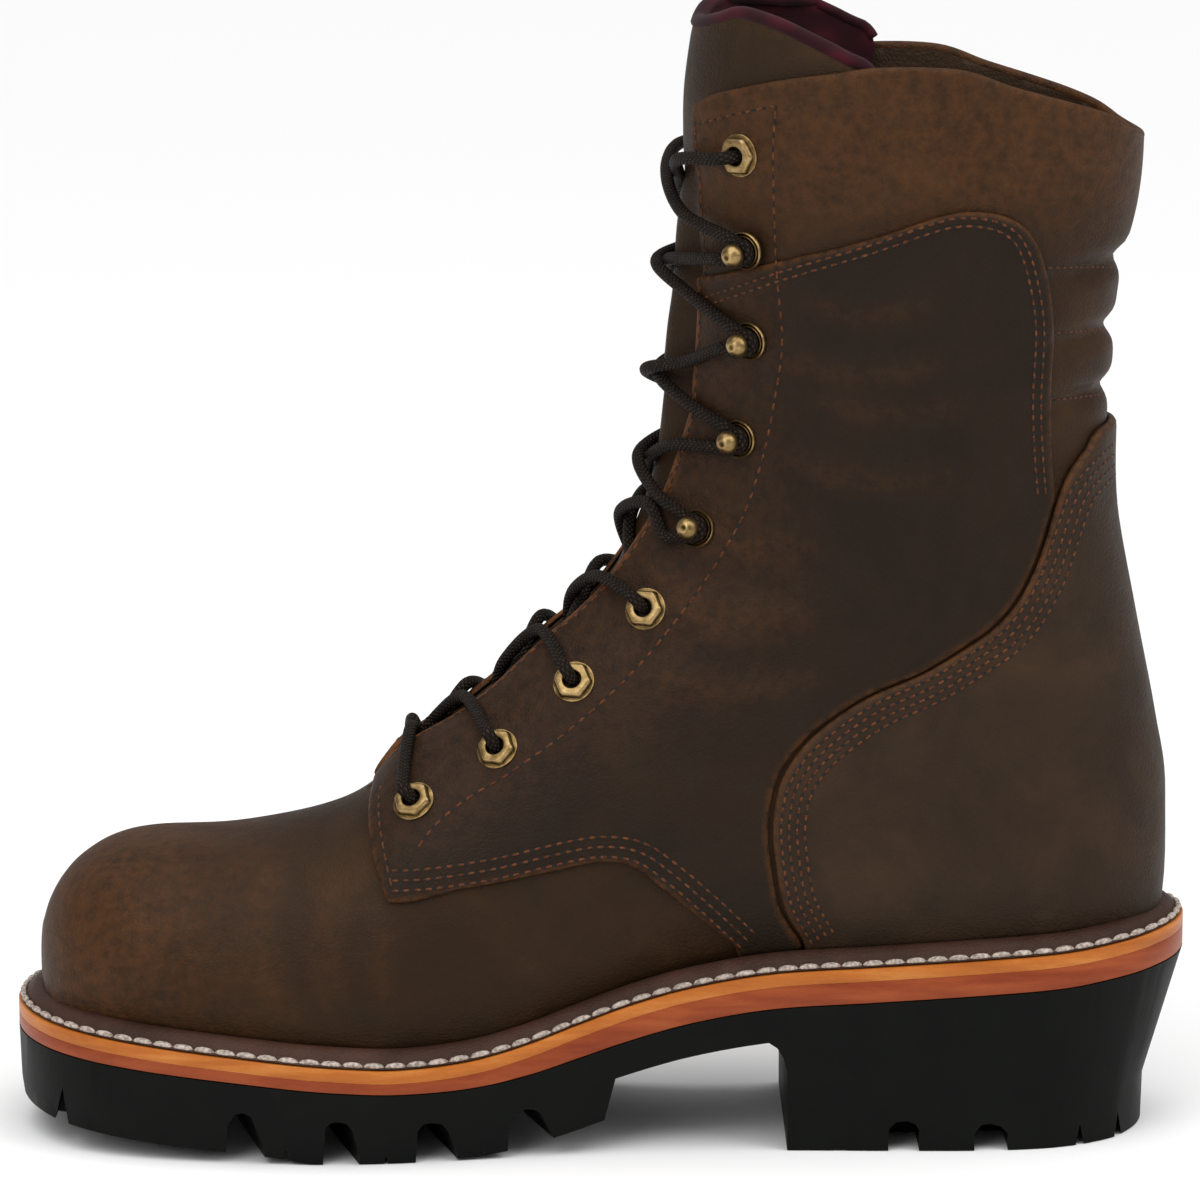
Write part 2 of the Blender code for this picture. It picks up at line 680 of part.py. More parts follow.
def make_insole():
    """Insole with its filling: fits the inside of the upper and the hole of the welt."""
    welt_top = WELT_THICKNESS + 2 * GAP
    steps = [
        (RAND_INNER, welt_top + INSOLE_THICKNESS), (RAND_INNER, welt_top),
        (WELT_INNER + GAP, welt_top), (WELT_INNER + GAP, 2 * GAP),
    ]
    loops = [raise_loop(outline_loop(inset), lambda x, h=height: sole_top(x) + h)
             for inset, height in steps]
    insole = mesh_object("insole", slab(loops), BOOT, material("insole", "#4A0A14", 0.9))
    last = cutter_object("last_form", last_form(-(WALL + GAP)))
    boolean(insole, last, "INTERSECT")
    shade_round(insole)


def throat_cutter():
    """Wedge between the facings, following the front of the sections."""
    shape = bmesh.new()
    rings = []
    above, below = 16 * MM, 14 * MM
    for row in SECTIONS[THROAT_SECTION:]:
        front, back, _ = section_frame(row)
        outward = (front - back).normalized()
        half = row[9] * BALL_WIDTH
        rings.append([
            shape.verts.new(front + outward * above + Vector((0, -half, 0))),
            shape.verts.new(front + outward * above + Vector((0, half, 0))),
            shape.verts.new(front - outward * below + Vector((0, half, 0))),
            shape.verts.new(front - outward * below + Vector((0, -half, 0))),
        ])
    for ring, after in zip(rings, rings[1:]):
        for k in range(4):
            j = (k + 1) % 4
            shape.faces.new((ring[k], ring[j], after[j], after[k]))
    shape.faces.new(rings[0])
    shape.faces.new(rings[-1][::-1])
    return shape


def make_upper(throat):
    """Hollow wall of vamp, shaft and collar."""
    line = feather_line()
    collar = [side_point(*p) for p in COLLAR]
    front = [(station_x(1.08), side_point(1.0, 1.0)[1]), (station_x(0.75), collar[0][1])]
    side = side_prism(line + front + collar, -BALL_WIDTH, BALL_WIDTH)
    finish = material("upper", "#3F2F26", 0.55)
    upper = sheet_object("upper", upper_sheet(0.0), BOOT, finish, WALL, -1)
    boolean(upper, cutter_object("upper_side", side), "INTERSECT")
    boolean(upper, throat, "DIFFERENCE")


def make_quarter(name, side_sign, throat):
    """Quarter with its facing, lapped over the vamp and under the collar."""
    x_back = station_x(QUARTER_BOTTOM[-1][0])
    foot = [(x, z) for x, z in feather_line(GAP) if x > x_back][::-1]
    counter = [side_point(*p) for p in COUNTER_FRONT[1:]][::-1]
    edge = [(x - 0.7 * MM, z) for x, z in counter]
    foot = [(x, z) for x, z in foot if x < edge[0][0]]
    front = [side_point(*p) for p in QUARTER_FRONT]
    bottom = [side_point(*p) for p in QUARTER_BOTTOM]
    corner = [(x_back, upper_foot(x_back) + GAP), (edge[0][0], upper_foot(edge[0][0]) + GAP)]
    back = [p for p in edge if p[1] < side_point(*QUARTER_TOP[0])[1]]
    top = [side_point(*p) for p in QUARTER_TOP]
    outline = front + bottom[:-1] + [corner[0]] + foot[::-1] + [corner[1]] + back[1:] + top
    outline.append((station_x(0.70), top[-1][1]))
    reach = sorted((side_sign * 1.5 * MM, side_sign * BALL_WIDTH))
    sheet = upper_sheet(GAP)
    quarter = sheet_object(name, sheet, BOOT, material(name, "#43322A", 0.55),
                           QUARTER_THICKNESS, 1)
    boolean(quarter, cutter_object(name + "_side", side_prism(outline, *reach)), "INTERSECT")
    boolean(quarter, throat, "DIFFERENCE")


def make_counter():
    """Heel cover wrapped round the back in one piece."""
    front = [side_point(*p) for p in COUNTER_FRONT]
    foot = [(x, z) for x, z in feather_line(GAP) if x > front[-1][0]][::-1]
    low = (front[-1][0], upper_foot(front[-1][0]) + GAP)
    outline = front[:-1] + [low] + foot
    side = side_prism(outline, -BALL_WIDTH, BALL_WIDTH)
    counter = sheet_object("counter", upper_sheet(GAP), BOOT,
                           material("counter", "#3D2C22", 0.55), COUNTER_THICKNESS, 1)
    boolean(counter, cutter_object("counter_side", side), "INTERSECT")


def tongue_bulge(section, degrees):
    """How far the tongue stands out at a section and an angle from the front."""
    turn = min(degrees, 360 - degrees)
    window = max(1.0 - (turn / TONGUE_WINDOW) ** 2, 0.0) ** 2
    return read_table(TONGUE_BULGE, 1, section) * window


def make_tongue():
    """Tongue inside the facings, standing above the collar."""
    outline = [side_point(*p) for p in TONGUE_EDGE]
    outline += [(station_x(0.78), outline[-1][1]), (station_x(0.78), outline[0][1])]
    side = side_prism(outline, -BALL_WIDTH, BALL_WIDTH)
    sheet = upper_sheet(-(WALL + GAP), THROAT_SECTION - 1, tongue_bulge, TONGUE_REACH)
    tongue = sheet_object("tongue", sheet, BOOT, material("tongue", "#3A2A22", 0.6),
                          TONGUE_THICKNESS, -1)
    boolean(tongue, cutter_object("tongue_side", side), "INTERSECT")


def on_upper(tree, place, side_sign):
    """Surface point and outward normal at a side view place."""
    x, z = side_point(*place)
    start = Vector((x, side_sign * BALL_WIDTH, z))
    spot, normal, _, _ = tree.ray_cast(start, Vector((0.0, -side_sign, 0.0)))
    if normal.y * side_sign < 0:
        normal = -normal
    return spot, normal


def seat(tree, place, side_sign, radius):
    """Point and mean normal on which a round base sits clear of the surface."""
    spot, normal = on_upper(tree, place, side_sign)
    found = [tree.find_nearest(spot + Vector((radius * math.cos(a), 0.0, radius * math.sin(a))))
             for a in (math.radians(45 * k) for k in range(8))]
    for _, lean, _, _ in found:
        normal = normal + (lean if lean.y * side_sign > 0 else -lean)
    normal.normalize()
    rise = max([0.0] + [(point - spot).dot(normal) for point, _, _, _ in found])
    return spot + normal * rise, normal


def seat_matrix(spot, normal, lift):
    """Placement with local Z along the surface normal."""
    turn = normal.to_track_quat("Z", "Y").to_matrix().to_4x4()
    return Matrix.Translation(spot + normal * lift) @ turn


def eyelet_mesh():
    """Round flange that rises to a hexagonal face with a hole."""
    shape = bmesh.new()
    sides = 12
    rings = []
    for kind, height in (("flange", 0.0), ("hex", EYELET_HEIGHT),
                         ("hole", EYELET_HEIGHT), ("hole", 0.0)):
        ring = []
        for k in range(sides):
            angle = 2 * math.pi * k / sides
            radius = {"flange": EYELET_RADIUS, "hole": EYELET_HOLE}.get(kind)
            if radius is None:
                radius = EYELET_HEX * (1.0 if k % 2 == 0 else math.cos(math.pi / 6))
            ring.append(shape.verts.new((radius * math.cos(angle),
                                         radius * math.sin(angle), height)))
        rings.append(ring)
    for n, ring in enumerate(rings):
        after = rings[(n + 1) % len(rings)]
        for k in range(sides):
            j = (k + 1) % sides
            shape.faces.new((ring[k], ring[j], after[j], after[k]))
    return shape


def turned_mesh(profile, steps):
    """Solid turned round Z by the Screw modifier, from a profile top to bottom at +X."""
    mesh = bpy.data.meshes.new("profile")
    edges = [(i, i + 1) for i in range(len(profile) - 1)]
    mesh.from_pydata([(radius, 0.0, height) for radius, height in profile], edges, [])
    holder = bpy.data.objects.new("profile", mesh)
    BOOT.objects.link(holder)
    turn = holder.modifiers.new("Turn", "SCREW")
    turn.steps = steps
    turn.render_steps = steps
    turn.use_merge_vertices = True
    turn.merge_threshold = 0.00001
    depsgraph = bpy.context.evaluated_depsgraph_get()
    result = bpy.data.meshes.new_from_object(holder.evaluated_get(depsgraph))
    shape = bmesh.new()
    shape.from_mesh(result)
    bpy.data.objects.remove(holder, do_unlink=True)
    return shape


def hook_mesh():
    """Speed hook: ball on a stem over a round base."""
    ball_z = HOOK_HEIGHT - HOOK_BALL
    profile = [(0.0, HOOK_HEIGHT)]
    for degrees in (50, 5, -45):
        angle = math.radians(degrees)
        profile.append((HOOK_BALL * math.cos(angle), ball_z + HOOK_BALL * math.sin(angle)))
    profile += [(HOOK_STEM, 0.16 * HOOK_HEIGHT), (HOOK_BASE, 0.10 * HOOK_HEIGHT),
                (HOOK_BASE, 0.0), (0.0, 0.0)]
    return turned_mesh(profile, HOOK_STEPS)


def hardware_places():
    """Side view places of the nine lacing rows, low to high, with their kind."""
    rows = [(place, "eyelet") for place in EYELETS[:4]]
    rows += [(place, "hook") for place in HOOKS]
    rows.append((EYELETS[4], "eyelet"))
    return rows


def face_trees():
    """Search trees of the upper's face and of the quarters' face."""
    trees = []
    for lift in (0.0, GAP + QUARTER_THICKNESS):
        sheet = upper_sheet(lift)
        trees.append(BVHTree.FromBMesh(sheet))
        sheet.free()
    return trees


def row_tree(trees, number):
    """The face that a lacing row sits on: the quarter's, or the collar's at the top."""
    return trees[1] if number < len(hardware_places()) - 1 else trees[0]


def make_hardware(trees):
    """Eyelets and speed hooks on both facings."""
    brass = material("antique_brass", "#9C7F45", 0.35, 1.0)
    for side_sign, side in ((-1, "outer"), (1, "inner")):
        counts = {"eyelet": 0, "hook": 0}
        for number, (place, kind) in enumerate(hardware_places()):
            counts[kind] += 1
            radius = EYELET_RADIUS if kind == "eyelet" else HOOK_BASE
            spot, normal = seat(row_tree(trees, number), place, side_sign, radius)
            shape = eyelet_mesh() if kind == "eyelet" else hook_mesh()
            name = "{}_{}_{}".format(kind, side, counts[kind])
            piece = mesh_object(name, shape, BOOT, brass)
            piece.matrix_world = seat_matrix(spot, normal, HARDWARE_GAP)
            shade_round(piece, 30)


def lace_tube(name, points):
    """Round lace along its points, as a mesh."""
    curve = bpy.data.curves.new(name, "CURVE")
    curve.dimensions = "3D"
    curve.bevel_depth = LACE_RADIUS
    curve.bevel_resolution = 1
    curve.use_fill_caps = True
    spline = curve.splines.new("POLY")
    spline.points.add(len(points) - 1)
    for node, p in zip(spline.points, points):
        node.co = (*p, 1.0)
    holder = bpy.data.objects.new(name + "_path", curve)
    BOOT.objects.link(holder)
    depsgraph = bpy.context.evaluated_depsgraph_get()
    mesh = bpy.data.meshes.new_from_object(holder.evaluated_get(depsgraph))
    tube = bmesh.new()
    tube.from_mesh(mesh)
    bmesh.ops.remove_doubles(tube, verts=tube.verts, dist=0.00001)
    bpy.data.objects.remove(holder, do_unlink=True)
    return tube


def lace_points(trees, low, high, side_sign):
    """Path of one strand from a row on one side to a row on the other, over the throat."""
    rows = hardware_places()
    last = len(rows) - 1
    path = []
    rise = LACE_RADIUS + LACE_LIFT
    for number, sign in ((low, side_sign), (high, -side_sign)):
        tree = row_tree(trees, number)
        spot, _ = on_upper(tree, rows[number][0], sign)
        above, _ = on_upper(tree, rows[min(number + 1, last)][0], sign)
        below, _ = on_upper(tree, rows[max(number - 1, 0)][0], sign)
        leaves = 1 if number < high else -1
        shift = (above - below).normalized() * LACE_APART * leaves
        section = nearest_section(spot)
        front, back, _ = section_frame(section)
        outward = (front - back).normalized()
        edge = Vector((front.x, sign * section[9] * BALL_WIDTH, front.z))
        start, normal, _, _ = tree.find_nearest(spot.lerp(edge, LACE_START) + shift)
        turn, lean, _, _ = tree.find_nearest(edge + shift)
        if normal.y * sign < 0:
            normal = -normal
        if lean.y * sign < 0:
            lean = -lean
        path.append((start + normal * rise,
                     turn + (lean + outward).normalized() * rise))
    (start, edge), (end, edge_far) = path
    middle = (edge + edge_far) / 2
    middle.y = 0.0
    bulge = read_table(TONGUE_BULGE, 1, SECTIONS.index(nearest_section(middle)))
    middle += outward * LACE_BOW * bulge
    near = edge.lerp(middle, LACE_TURN)
    far = edge_far.lerp(middle, LACE_TURN)
    return [start, near, middle, far, end]


def nearest_section(spot):
    """Row of the section whose plane lies closest to a point."""
    def distance(row):
        front, back, _ = section_frame(row)
        along = (front - back).normalized()
        across = Vector((-along.z, 0.0, along.x))
        return abs((spot - front).dot(across))
    return min(SECTIONS[THROAT_SECTION:], key=distance)


def make_laces(trees):
    """A bar over the lowest eyelets, then a crossing between each two rows."""
    finish = material("lace", "#2A211B", 0.8)
    rows = len(hardware_places())
    bar = lace_tube("lace_bar", lace_points(trees, 0, 0, -1))
    shade_round(mesh_object("lace_bar", bar, BOOT, finish))
    for low in range(rows - 1):
        name = "lace_cross_{}".format(low + 1)
        strand = lace_tube(name, lace_points(trees, low, low + 1, -1))
        other = lace_tube(name + "_b", lace_points(trees, low, low + 1, 1))
        piece = mesh_object(name, strand, BOOT, finish)
        boolean(piece, cutter_object(name + "_b", other), "UNION")


def main():
    """Build every piece of the boot."""
    trees = face_trees()
    throat = cutter_object("throat", throat_cutter())
    make_outsole()
    make_midsoles()
    make_welt()
    make_insole()
    make_upper(throat)
    make_quarter("quarter_outer", -1, throat)
    make_quarter("quarter_inner", 1, throat)
    make_counter()
    make_tongue()
    make_hardware(trees)
    make_laces(trees)


clear_scene()
BOOT = new_collection("logger_boot")
CUTTERS = new_collection("cutters")
main()
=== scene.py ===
# %% [markdown]
# # A left logger boot, nine inches high
#
# A tall lace-up work boot: oiled leather upper with lapped quarters and heel cover, a padded
# and quilted back collar, two leather midsoles, a stitched welt and a lugged rubber sole with
# a high heel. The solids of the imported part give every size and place. Here each visible
# piece is made again with more detail, from the same tables of shares, and rides on the
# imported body.

import math

import bmesh
import bpy
import numpy as np
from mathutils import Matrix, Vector
from mathutils.bvhtree import BVHTree


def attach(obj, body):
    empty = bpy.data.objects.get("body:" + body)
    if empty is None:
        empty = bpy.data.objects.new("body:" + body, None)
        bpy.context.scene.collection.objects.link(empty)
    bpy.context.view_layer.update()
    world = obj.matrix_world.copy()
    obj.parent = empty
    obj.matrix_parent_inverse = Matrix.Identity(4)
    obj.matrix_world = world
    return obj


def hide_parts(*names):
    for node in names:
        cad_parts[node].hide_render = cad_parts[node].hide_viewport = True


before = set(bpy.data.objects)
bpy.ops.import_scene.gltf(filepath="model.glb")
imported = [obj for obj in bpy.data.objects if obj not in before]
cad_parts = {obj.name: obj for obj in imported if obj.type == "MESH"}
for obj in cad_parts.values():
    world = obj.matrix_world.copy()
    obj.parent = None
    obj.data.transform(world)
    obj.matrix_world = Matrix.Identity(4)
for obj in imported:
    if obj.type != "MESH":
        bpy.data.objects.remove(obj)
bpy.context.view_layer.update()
MM = 0.001
print("CAD nodes:", len(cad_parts))

# %% [markdown]
# ## Camera, light and floor
#
# The picture is a side view from a little above, with a long lens. The lens and the place
# were solved from three lines whose real height is known: the floor, the edge of the sole
# and the collar. Wide soft lights from the left, above and the right give the even light of
# a photo studio, and a pale floor catches a soft contact shadow.

# %% Camera
CAMERA_PLACE = Vector((-0.095, -1.400, 0.390))
CAMERA_PITCH = math.radians(10.05)
FOCAL_PIXELS = 5315
FRAME_PIXELS = 1200

lens = bpy.data.cameras.new("side_view")
lens.sensor_width = 36
lens.lens = 36 * FOCAL_PIXELS / FRAME_PIXELS
camera = bpy.data.objects.new("side_view", lens)
camera.location = CAMERA_PLACE
camera.rotation_euler = (math.pi / 2 - CAMERA_PITCH, 0, 0)
bpy.context.scene.collection.objects.link(camera)
bpy.context.scene.camera = camera
bpy.context.scene.view_settings.view_transform = "Standard"


def picture_ray(u, v):
    """Direction in which a place of the 1200 by 1200 picture is seen."""
    ahead = Vector((0, math.cos(CAMERA_PITCH), -math.sin(CAMERA_PITCH)))
    up = Vector((0, math.sin(CAMERA_PITCH), math.cos(CAMERA_PITCH)))
    half = FRAME_PIXELS / 2
    side = Vector((1, 0, 0)) * (u - half) / FOCAL_PIXELS
    return (ahead + side + up * (half - v) / FOCAL_PIXELS).normalized()


print("lens", round(lens.lens, 1), "mm")


# %% Lights and floor
def soft_light(name, place, aim, size, power):
    """A square soft box that points at a place."""
    lamp = bpy.data.lights.new(name, "AREA")
    lamp.shape = "SQUARE"
    lamp.size = size
    lamp.energy = power
    holder = bpy.data.objects.new(name, lamp)
    holder.location = place
    holder.rotation_euler = (Vector(aim) - Vector(place)).to_track_quat("-Z", "Y").to_euler()
    bpy.context.scene.collection.objects.link(holder)


BOOT_MIDDLE = (-0.095, 0, 0.14)
soft_light("key_left", (-0.9, -1.3, 1.0), BOOT_MIDDLE, 1.0, 9)
soft_light("rim_right", (0.9, -0.5, 0.9), BOOT_MIDDLE, 0.8, 5)

overhead = bpy.data.lights.new("overhead", "SUN")
overhead.energy = 2.15
overhead.angle = math.radians(70)
overhead_holder = bpy.data.objects.new("overhead", overhead)
overhead_holder.rotation_euler = (math.radians(12), 0, 0)
bpy.context.scene.collection.objects.link(overhead_holder)

world = bpy.data.worlds.new("studio")
bpy.context.scene.world = world
world.use_nodes = True
world.node_tree.nodes["Background"].inputs["Color"].default_value = (1, 1, 1, 1)
world.node_tree.nodes["Background"].inputs["Strength"].default_value = 0.42

floor_form = bmesh.new()
bmesh.ops.create_grid(floor_form, x_segments=1, y_segments=1, size=20)
floor_mesh = bpy.data.meshes.new("studio_floor")
floor_form.to_mesh(floor_mesh)
floor_form.free()
studio_floor = bpy.data.objects.new("studio_floor", floor_mesh)
studio_floor.location.z = -0.0002
bpy.context.scene.collection.objects.link(studio_floor)
print("lights:", [lamp.name for lamp in bpy.data.lights])


# %% [markdown]
# ## Colours and shader nodes
#
# Colours are written as sRGB hex values, as they are read from a screen, and turned into the
# linear values that the shader works with. One small function adds any node with its
# settings and links, so that a material reads as a short list of steps.

# %% Helpers for materials
def linear(colour):
    """sRGB hex colour to linear red, green, blue and alpha."""
    shares = [int(colour[i:i + 2], 16) / 255 for i in (1, 3, 5)]
    return tuple(s / 12.92 if s <= 0.04045 else ((s + 0.055) / 1.055) ** 2.4
                 for s in shares) + (1.0,)


def add(tree, kind, settings=None, **links):
    """Add a node. settings: attributes and input values; links: input name to socket."""
    node = tree.nodes.new("ShaderNode" + kind)
    for key, value in (settings or {}).items():
        if isinstance(key, str) and hasattr(node, key):
            setattr(node, key, value)
        else:
            node.inputs[key].default_value = value
    for key, socket in links.items():
        spot = int(key[1:]) if key[0] == "_" else key.replace("_", " ")
        tree.links.new(socket, node.inputs[spot])
    return node


def new_finish(name, roughness, settings=None):
    """A material with a Principled shader. Returns material, tree and shader."""
    finish = bpy.data.materials.new(name)
    finish.use_nodes = True
    shader = finish.node_tree.nodes["Principled BSDF"]
    shader.inputs["Roughness"].default_value = roughness
    for key, value in (settings or {}).items():
        shader.inputs[key].default_value = value
    return finish, finish.node_tree, shader


def ramp(tree, factor, stops):
    """Colour ramp over a factor. stops: position and hex colour."""
    node = add(tree, "ValToRGB", None, Fac=factor)
    edges = node.color_ramp.elements
    edges[0].position, edges[0].color = stops[0][0], linear(stops[0][1])
    edges[1].position, edges[1].color = stops[-1][0], linear(stops[-1][1])
    for place, colour in stops[1:-1]:
        edges.new(place).color = linear(colour)
    return node.outputs["Color"]


def per_mm(size):
    """Texture scale that gives features of a size in millimetres, in object space."""
    return 1.0 / (size * MM)


floor_finish, _, floor_shader = new_finish("pale_paper_floor", 0.95)
floor_shader.inputs["Base Color"].default_value = linear("#F4F4F4")
floor_mesh.materials.append(floor_finish)
print("middle grey in linear light:", round(linear("#808080")[0], 3))

# %% [markdown]
# ## The last: one form that every upper piece follows
#
# A shoemaker pulls all leather over one wooden last. In the same way, one smooth form is
# worked out here from a table of sections, each a plane across the foot from a front point
# to a back point. Between the sections the values run on smooth curves. Every panel is then
# a piece cut from this form and lifted by its own thickness, so that all of them lie on each
# other without gaps.

# %% Named sizes
SOLE_LENGTH = 314.4 * MM
HEEL_SEAT = 62.2 * MM
BALL_WIDTH = 110 * MM
INSTEP_HEIGHT = 112 * MM
SHAFT_HEIGHT = 130 * MM
HEEL_PITCH = 26 * MM
TOE_SPRING = 8 * MM
GAP = 0.3 * MM
TREAD_DEPTH = 13.5 * MM
RUBBER_BASE = 5.9 * MM
WAIST_RUBBER = 9.0 * MM
LOWER_MIDSOLE = 2.6 * MM
LOWER_WEDGE = 2.9 * MM
UPPER_MIDSOLE = 3.4 * MM
WELT_THICKNESS = 2.2 * MM
WALL = 2.4 * MM
QUARTER_THICKNESS = 1.8 * MM
COUNTER_THICKNESS = 2.3 * MM
RAND_INNER = 5.6 * MM
SOLE_TUCK = 10 * MM
KNEE_HEIGHT = 12.7 * MM
FOOT_CLEAR = 2.6 * MM
FOOT_BLEND = 3.0 * MM
FOOT_FLARE = 0.45
FOOT_LAPPED = 0.50
FOOT_FADE = 0.08
QUILT_DEPTH = 3.0 * MM
QUILT_SPREAD = 3.2 * MM
print("sole", round(SOLE_LENGTH / MM, 1), "mm long,", round(BALL_WIDTH / MM), "mm wide")

# %% Tables of the sole
OUTLINE = [
    # station, outer, inner, knee, foot
    (0.000, 0.030, 0.030, 1.02, 1.06), (0.008, 0.118, 0.118, 1.00, 1.04),
    (0.023, 0.191, 0.191, 0.90, 0.95), (0.051, 0.268, 0.268, 0.65, 0.72),
    (0.104, 0.334, 0.329, 0.35, 0.45), (0.165, 0.355, 0.350, 0.20, 0.30),
    (0.254, 0.359, 0.345, 0.20, 0.30), (0.352, 0.355, 0.323, 0.20, 0.30),
    (0.451, 0.368, 0.318, 0.15, 0.30), (0.520, 0.395, 0.355, 0.12, 0.35),
    (0.599, 0.445, 0.427, 0.12, 0.45), (0.677, 0.486, 0.482, 0.12, 0.50),
    (0.739, 0.495, 0.509, 0.12, 0.50), (0.796, 0.475, 0.507, 0.12, 0.45),
    (0.850, 0.450, 0.482, 0.10, 0.40), (0.893, 0.416, 0.447, 0.08, 0.35),
    (0.930, 0.366, 0.394, 0.06, 0.30), (0.961, 0.293, 0.325, 0.05, 0.25),
    (0.983, 0.201, 0.237, 0.05, 0.25), (0.995, 0.109, 0.136, 0.05, 0.25),
    (1.000, 0.025, 0.035, 0.05, 0.25),
]
PROFILE = [
    # station, pitch, spring, wedge
    (0.000, 1.220, 0.00, 1.00), (0.056, 1.135, 0.00, 1.00), (0.106, 1.065, 0.00, 1.00),
    (0.184, 1.000, 0.00, 1.00), (0.273, 0.930, 0.00, 1.00), (0.357, 0.860, 0.00, 1.00),
    (0.421, 0.730, 0.00, 1.00), (0.470, 0.575, 0.00, 1.00), (0.520, 0.370, 0.00, 0.85),
    (0.559, 0.205, 0.00, 0.60), (0.608, 0.060, 0.00, 0.25), (0.668, 0.000, 0.00, 0.00),
    (0.717, 0.000, 0.09, 0.00), (0.776, 0.000, 0.26, 0.00), (0.845, 0.000, 0.50, 0.05),
    (0.914, 0.000, 0.74, 0.12), (1.000, 0.000, 1.02, 0.23),
]
print("outline rows:", len(OUTLINE))

# %% Sections of the upper
SECTIONS = [
    # front station, level, back station, level, outer, inner, seat, powers, throat
    (0.978, 0.187, 0.978, 0.039, 0.080, 0.090, 0.50, 2.2, 2.2, 0.000),
    (0.972, 0.241, 0.972, -0.049, 0.148, 0.166, 0.55, 2.2, 2.2, 0.000),
    (0.962, 0.293, 0.962, -0.136, 0.215, 0.234, 0.57, 2.3, 2.3, 0.000),
    (0.946, 0.344, 0.946, -0.194, 0.282, 0.305, 0.57, 2.3, 2.4, 0.000),
    (0.920, 0.392, 0.920, -0.215, 0.341, 0.373, 0.57, 2.3, 2.6, 0.000),
    (0.885, 0.421, 0.885, -0.220, 0.391, 0.423, 0.56, 2.3, 2.6, 0.000),
    (0.815, 0.449, 0.815, -0.222, 0.431, 0.466, 0.53, 2.2, 2.6, 0.000),
    (0.739, 0.512, 0.739, -0.221, 0.443, 0.472, 0.50, 2.1, 2.6, 0.000),
    (0.697, 0.577, 0.691, -0.217, 0.441, 0.461, 0.49, 2.1, 2.6, 0.020),
    (0.666, 0.683, 0.640, -0.225, 0.429, 0.438, 0.47, 2.1, 2.6, 0.050),
    (0.623, 0.755, 0.586, -0.234, 0.410, 0.406, 0.45, 2.1, 2.6, 0.070),
    (0.588, 0.819, 0.529, -0.220, 0.388, 0.370, 0.42, 2.1, 2.6, 0.080),
    (0.549, 0.903, 0.465, -0.227, 0.366, 0.343, 0.40, 2.1, 2.6, 0.088),
    (0.522, 0.949, 0.389, -0.239, 0.349, 0.326, 0.38, 2.1, 2.6, 0.092),
    (0.497, 1.008, 0.306, -0.228, 0.336, 0.318, 0.37, 2.1, 2.5, 0.095),
    (0.475, 1.077, 0.210, -0.210, 0.328, 0.318, 0.37, 2.1, 2.5, 0.097),
    (0.460, 1.142, 0.104, -0.160, 0.323, 0.318, 0.38, 2.1, 2.4, 0.099),
    (0.449, 1.201, 0.034, -0.028, 0.323, 0.318, 0.40, 2.1, 2.4, 0.101),
    (0.431, 1.316, 0.025, 0.297, 0.327, 0.325, 0.45, 2.1, 2.3, 0.104),
    (0.428, 1.369, 0.035, 0.497, 0.336, 0.336, 0.47, 2.1, 2.3, 0.108),
    (0.425, 1.441, 0.053, 0.752, 0.348, 0.348, 0.48, 2.1, 2.2, 0.113),
    (0.423, 1.513, 0.070, 1.010, 0.362, 0.362, 0.50, 2.1, 2.2, 0.120),
    (0.424, 1.580, 0.072, 1.190, 0.377, 0.377, 0.50, 2.1, 2.2, 0.128),
    (0.426, 1.618, 0.069, 1.262, 0.386, 0.386, 0.50, 2.1, 2.2, 0.135),
    (0.428, 1.655, 0.068, 1.325, 0.394, 0.394, 0.50, 2.1, 2.2, 0.142),
    (0.430, 1.690, 0.067, 1.385, 0.401, 0.401, 0.50, 2.1, 2.2, 0.149),
    (0.432, 1.730, 0.065, 1.452, 0.409, 0.409, 0.50, 2.1, 2.2, 0.155),
    (0.433, 1.770, 0.060, 1.520, 0.418, 0.418, 0.50, 2.1, 2.2, 0.161),
    (0.438, 1.850, 0.049, 1.635, 0.431, 0.431, 0.50, 2.1, 2.2, 0.168),
    (0.438, 1.960, 0.045, 1.757, 0.441, 0.441, 0.50, 2.1, 2.2, 0.174),
    (0.428, 2.125, 0.047, 1.930, 0.445, 0.445, 0.50, 2.1, 2.2, 0.177),
]
TOE_TIP = (0.980, 0.112)
THROAT_SECTION = 8
print("sections:", len(SECTIONS))

# %% Outlines and places in the side view, as station and level
COLLAR = [
    (0.520, 1.880), (0.427, 1.911), (0.407, 1.930), (0.358, 1.943), (0.314, 1.951),
    (0.273, 1.959), (0.209, 1.945), (0.168, 1.906), (0.127, 1.871), (0.095, 1.841),
    (0.071, 1.811), (0.045, 1.766), (-0.032, 1.700),
]
QUARTER_FRONT = [
    (0.697, 0.800), (0.688, 0.640), (0.692, 0.586), (0.693, 0.545), (0.689, 0.480),
    (0.677, 0.384),
]
QUARTER_BOTTOM = [
    (0.657, 0.386), (0.618, 0.404), (0.580, 0.401), (0.534, 0.386), (0.500, 0.369),
    (0.474, 0.335), (0.453, 0.273), (0.420, 0.174), (0.382, 0.060),
]
QUARTER_TOP = [
    (0.125, 1.075), (0.128, 1.160), (0.130, 1.275), (0.129, 1.428), (0.137, 1.543),
    (0.147, 1.606), (0.163, 1.646), (0.187, 1.667), (0.219, 1.668), (0.281, 1.627),
    (0.356, 1.587), (0.417, 1.562), (0.520, 1.530),
]
COUNTER_FRONT = [
    (-0.032, 1.195), (0.077, 1.192), (0.096, 1.159), (0.114, 1.111), (0.124, 1.050),
    (0.132, 0.984), (0.141, 0.918), (0.154, 0.851), (0.170, 0.800), (0.188, 0.763),
    (0.230, 0.695), (0.277, 0.642), (0.322, 0.558), (0.347, 0.471), (0.355, 0.382),
    (0.355, 0.298), (0.346, 0.159), (0.326, 0.054),
]
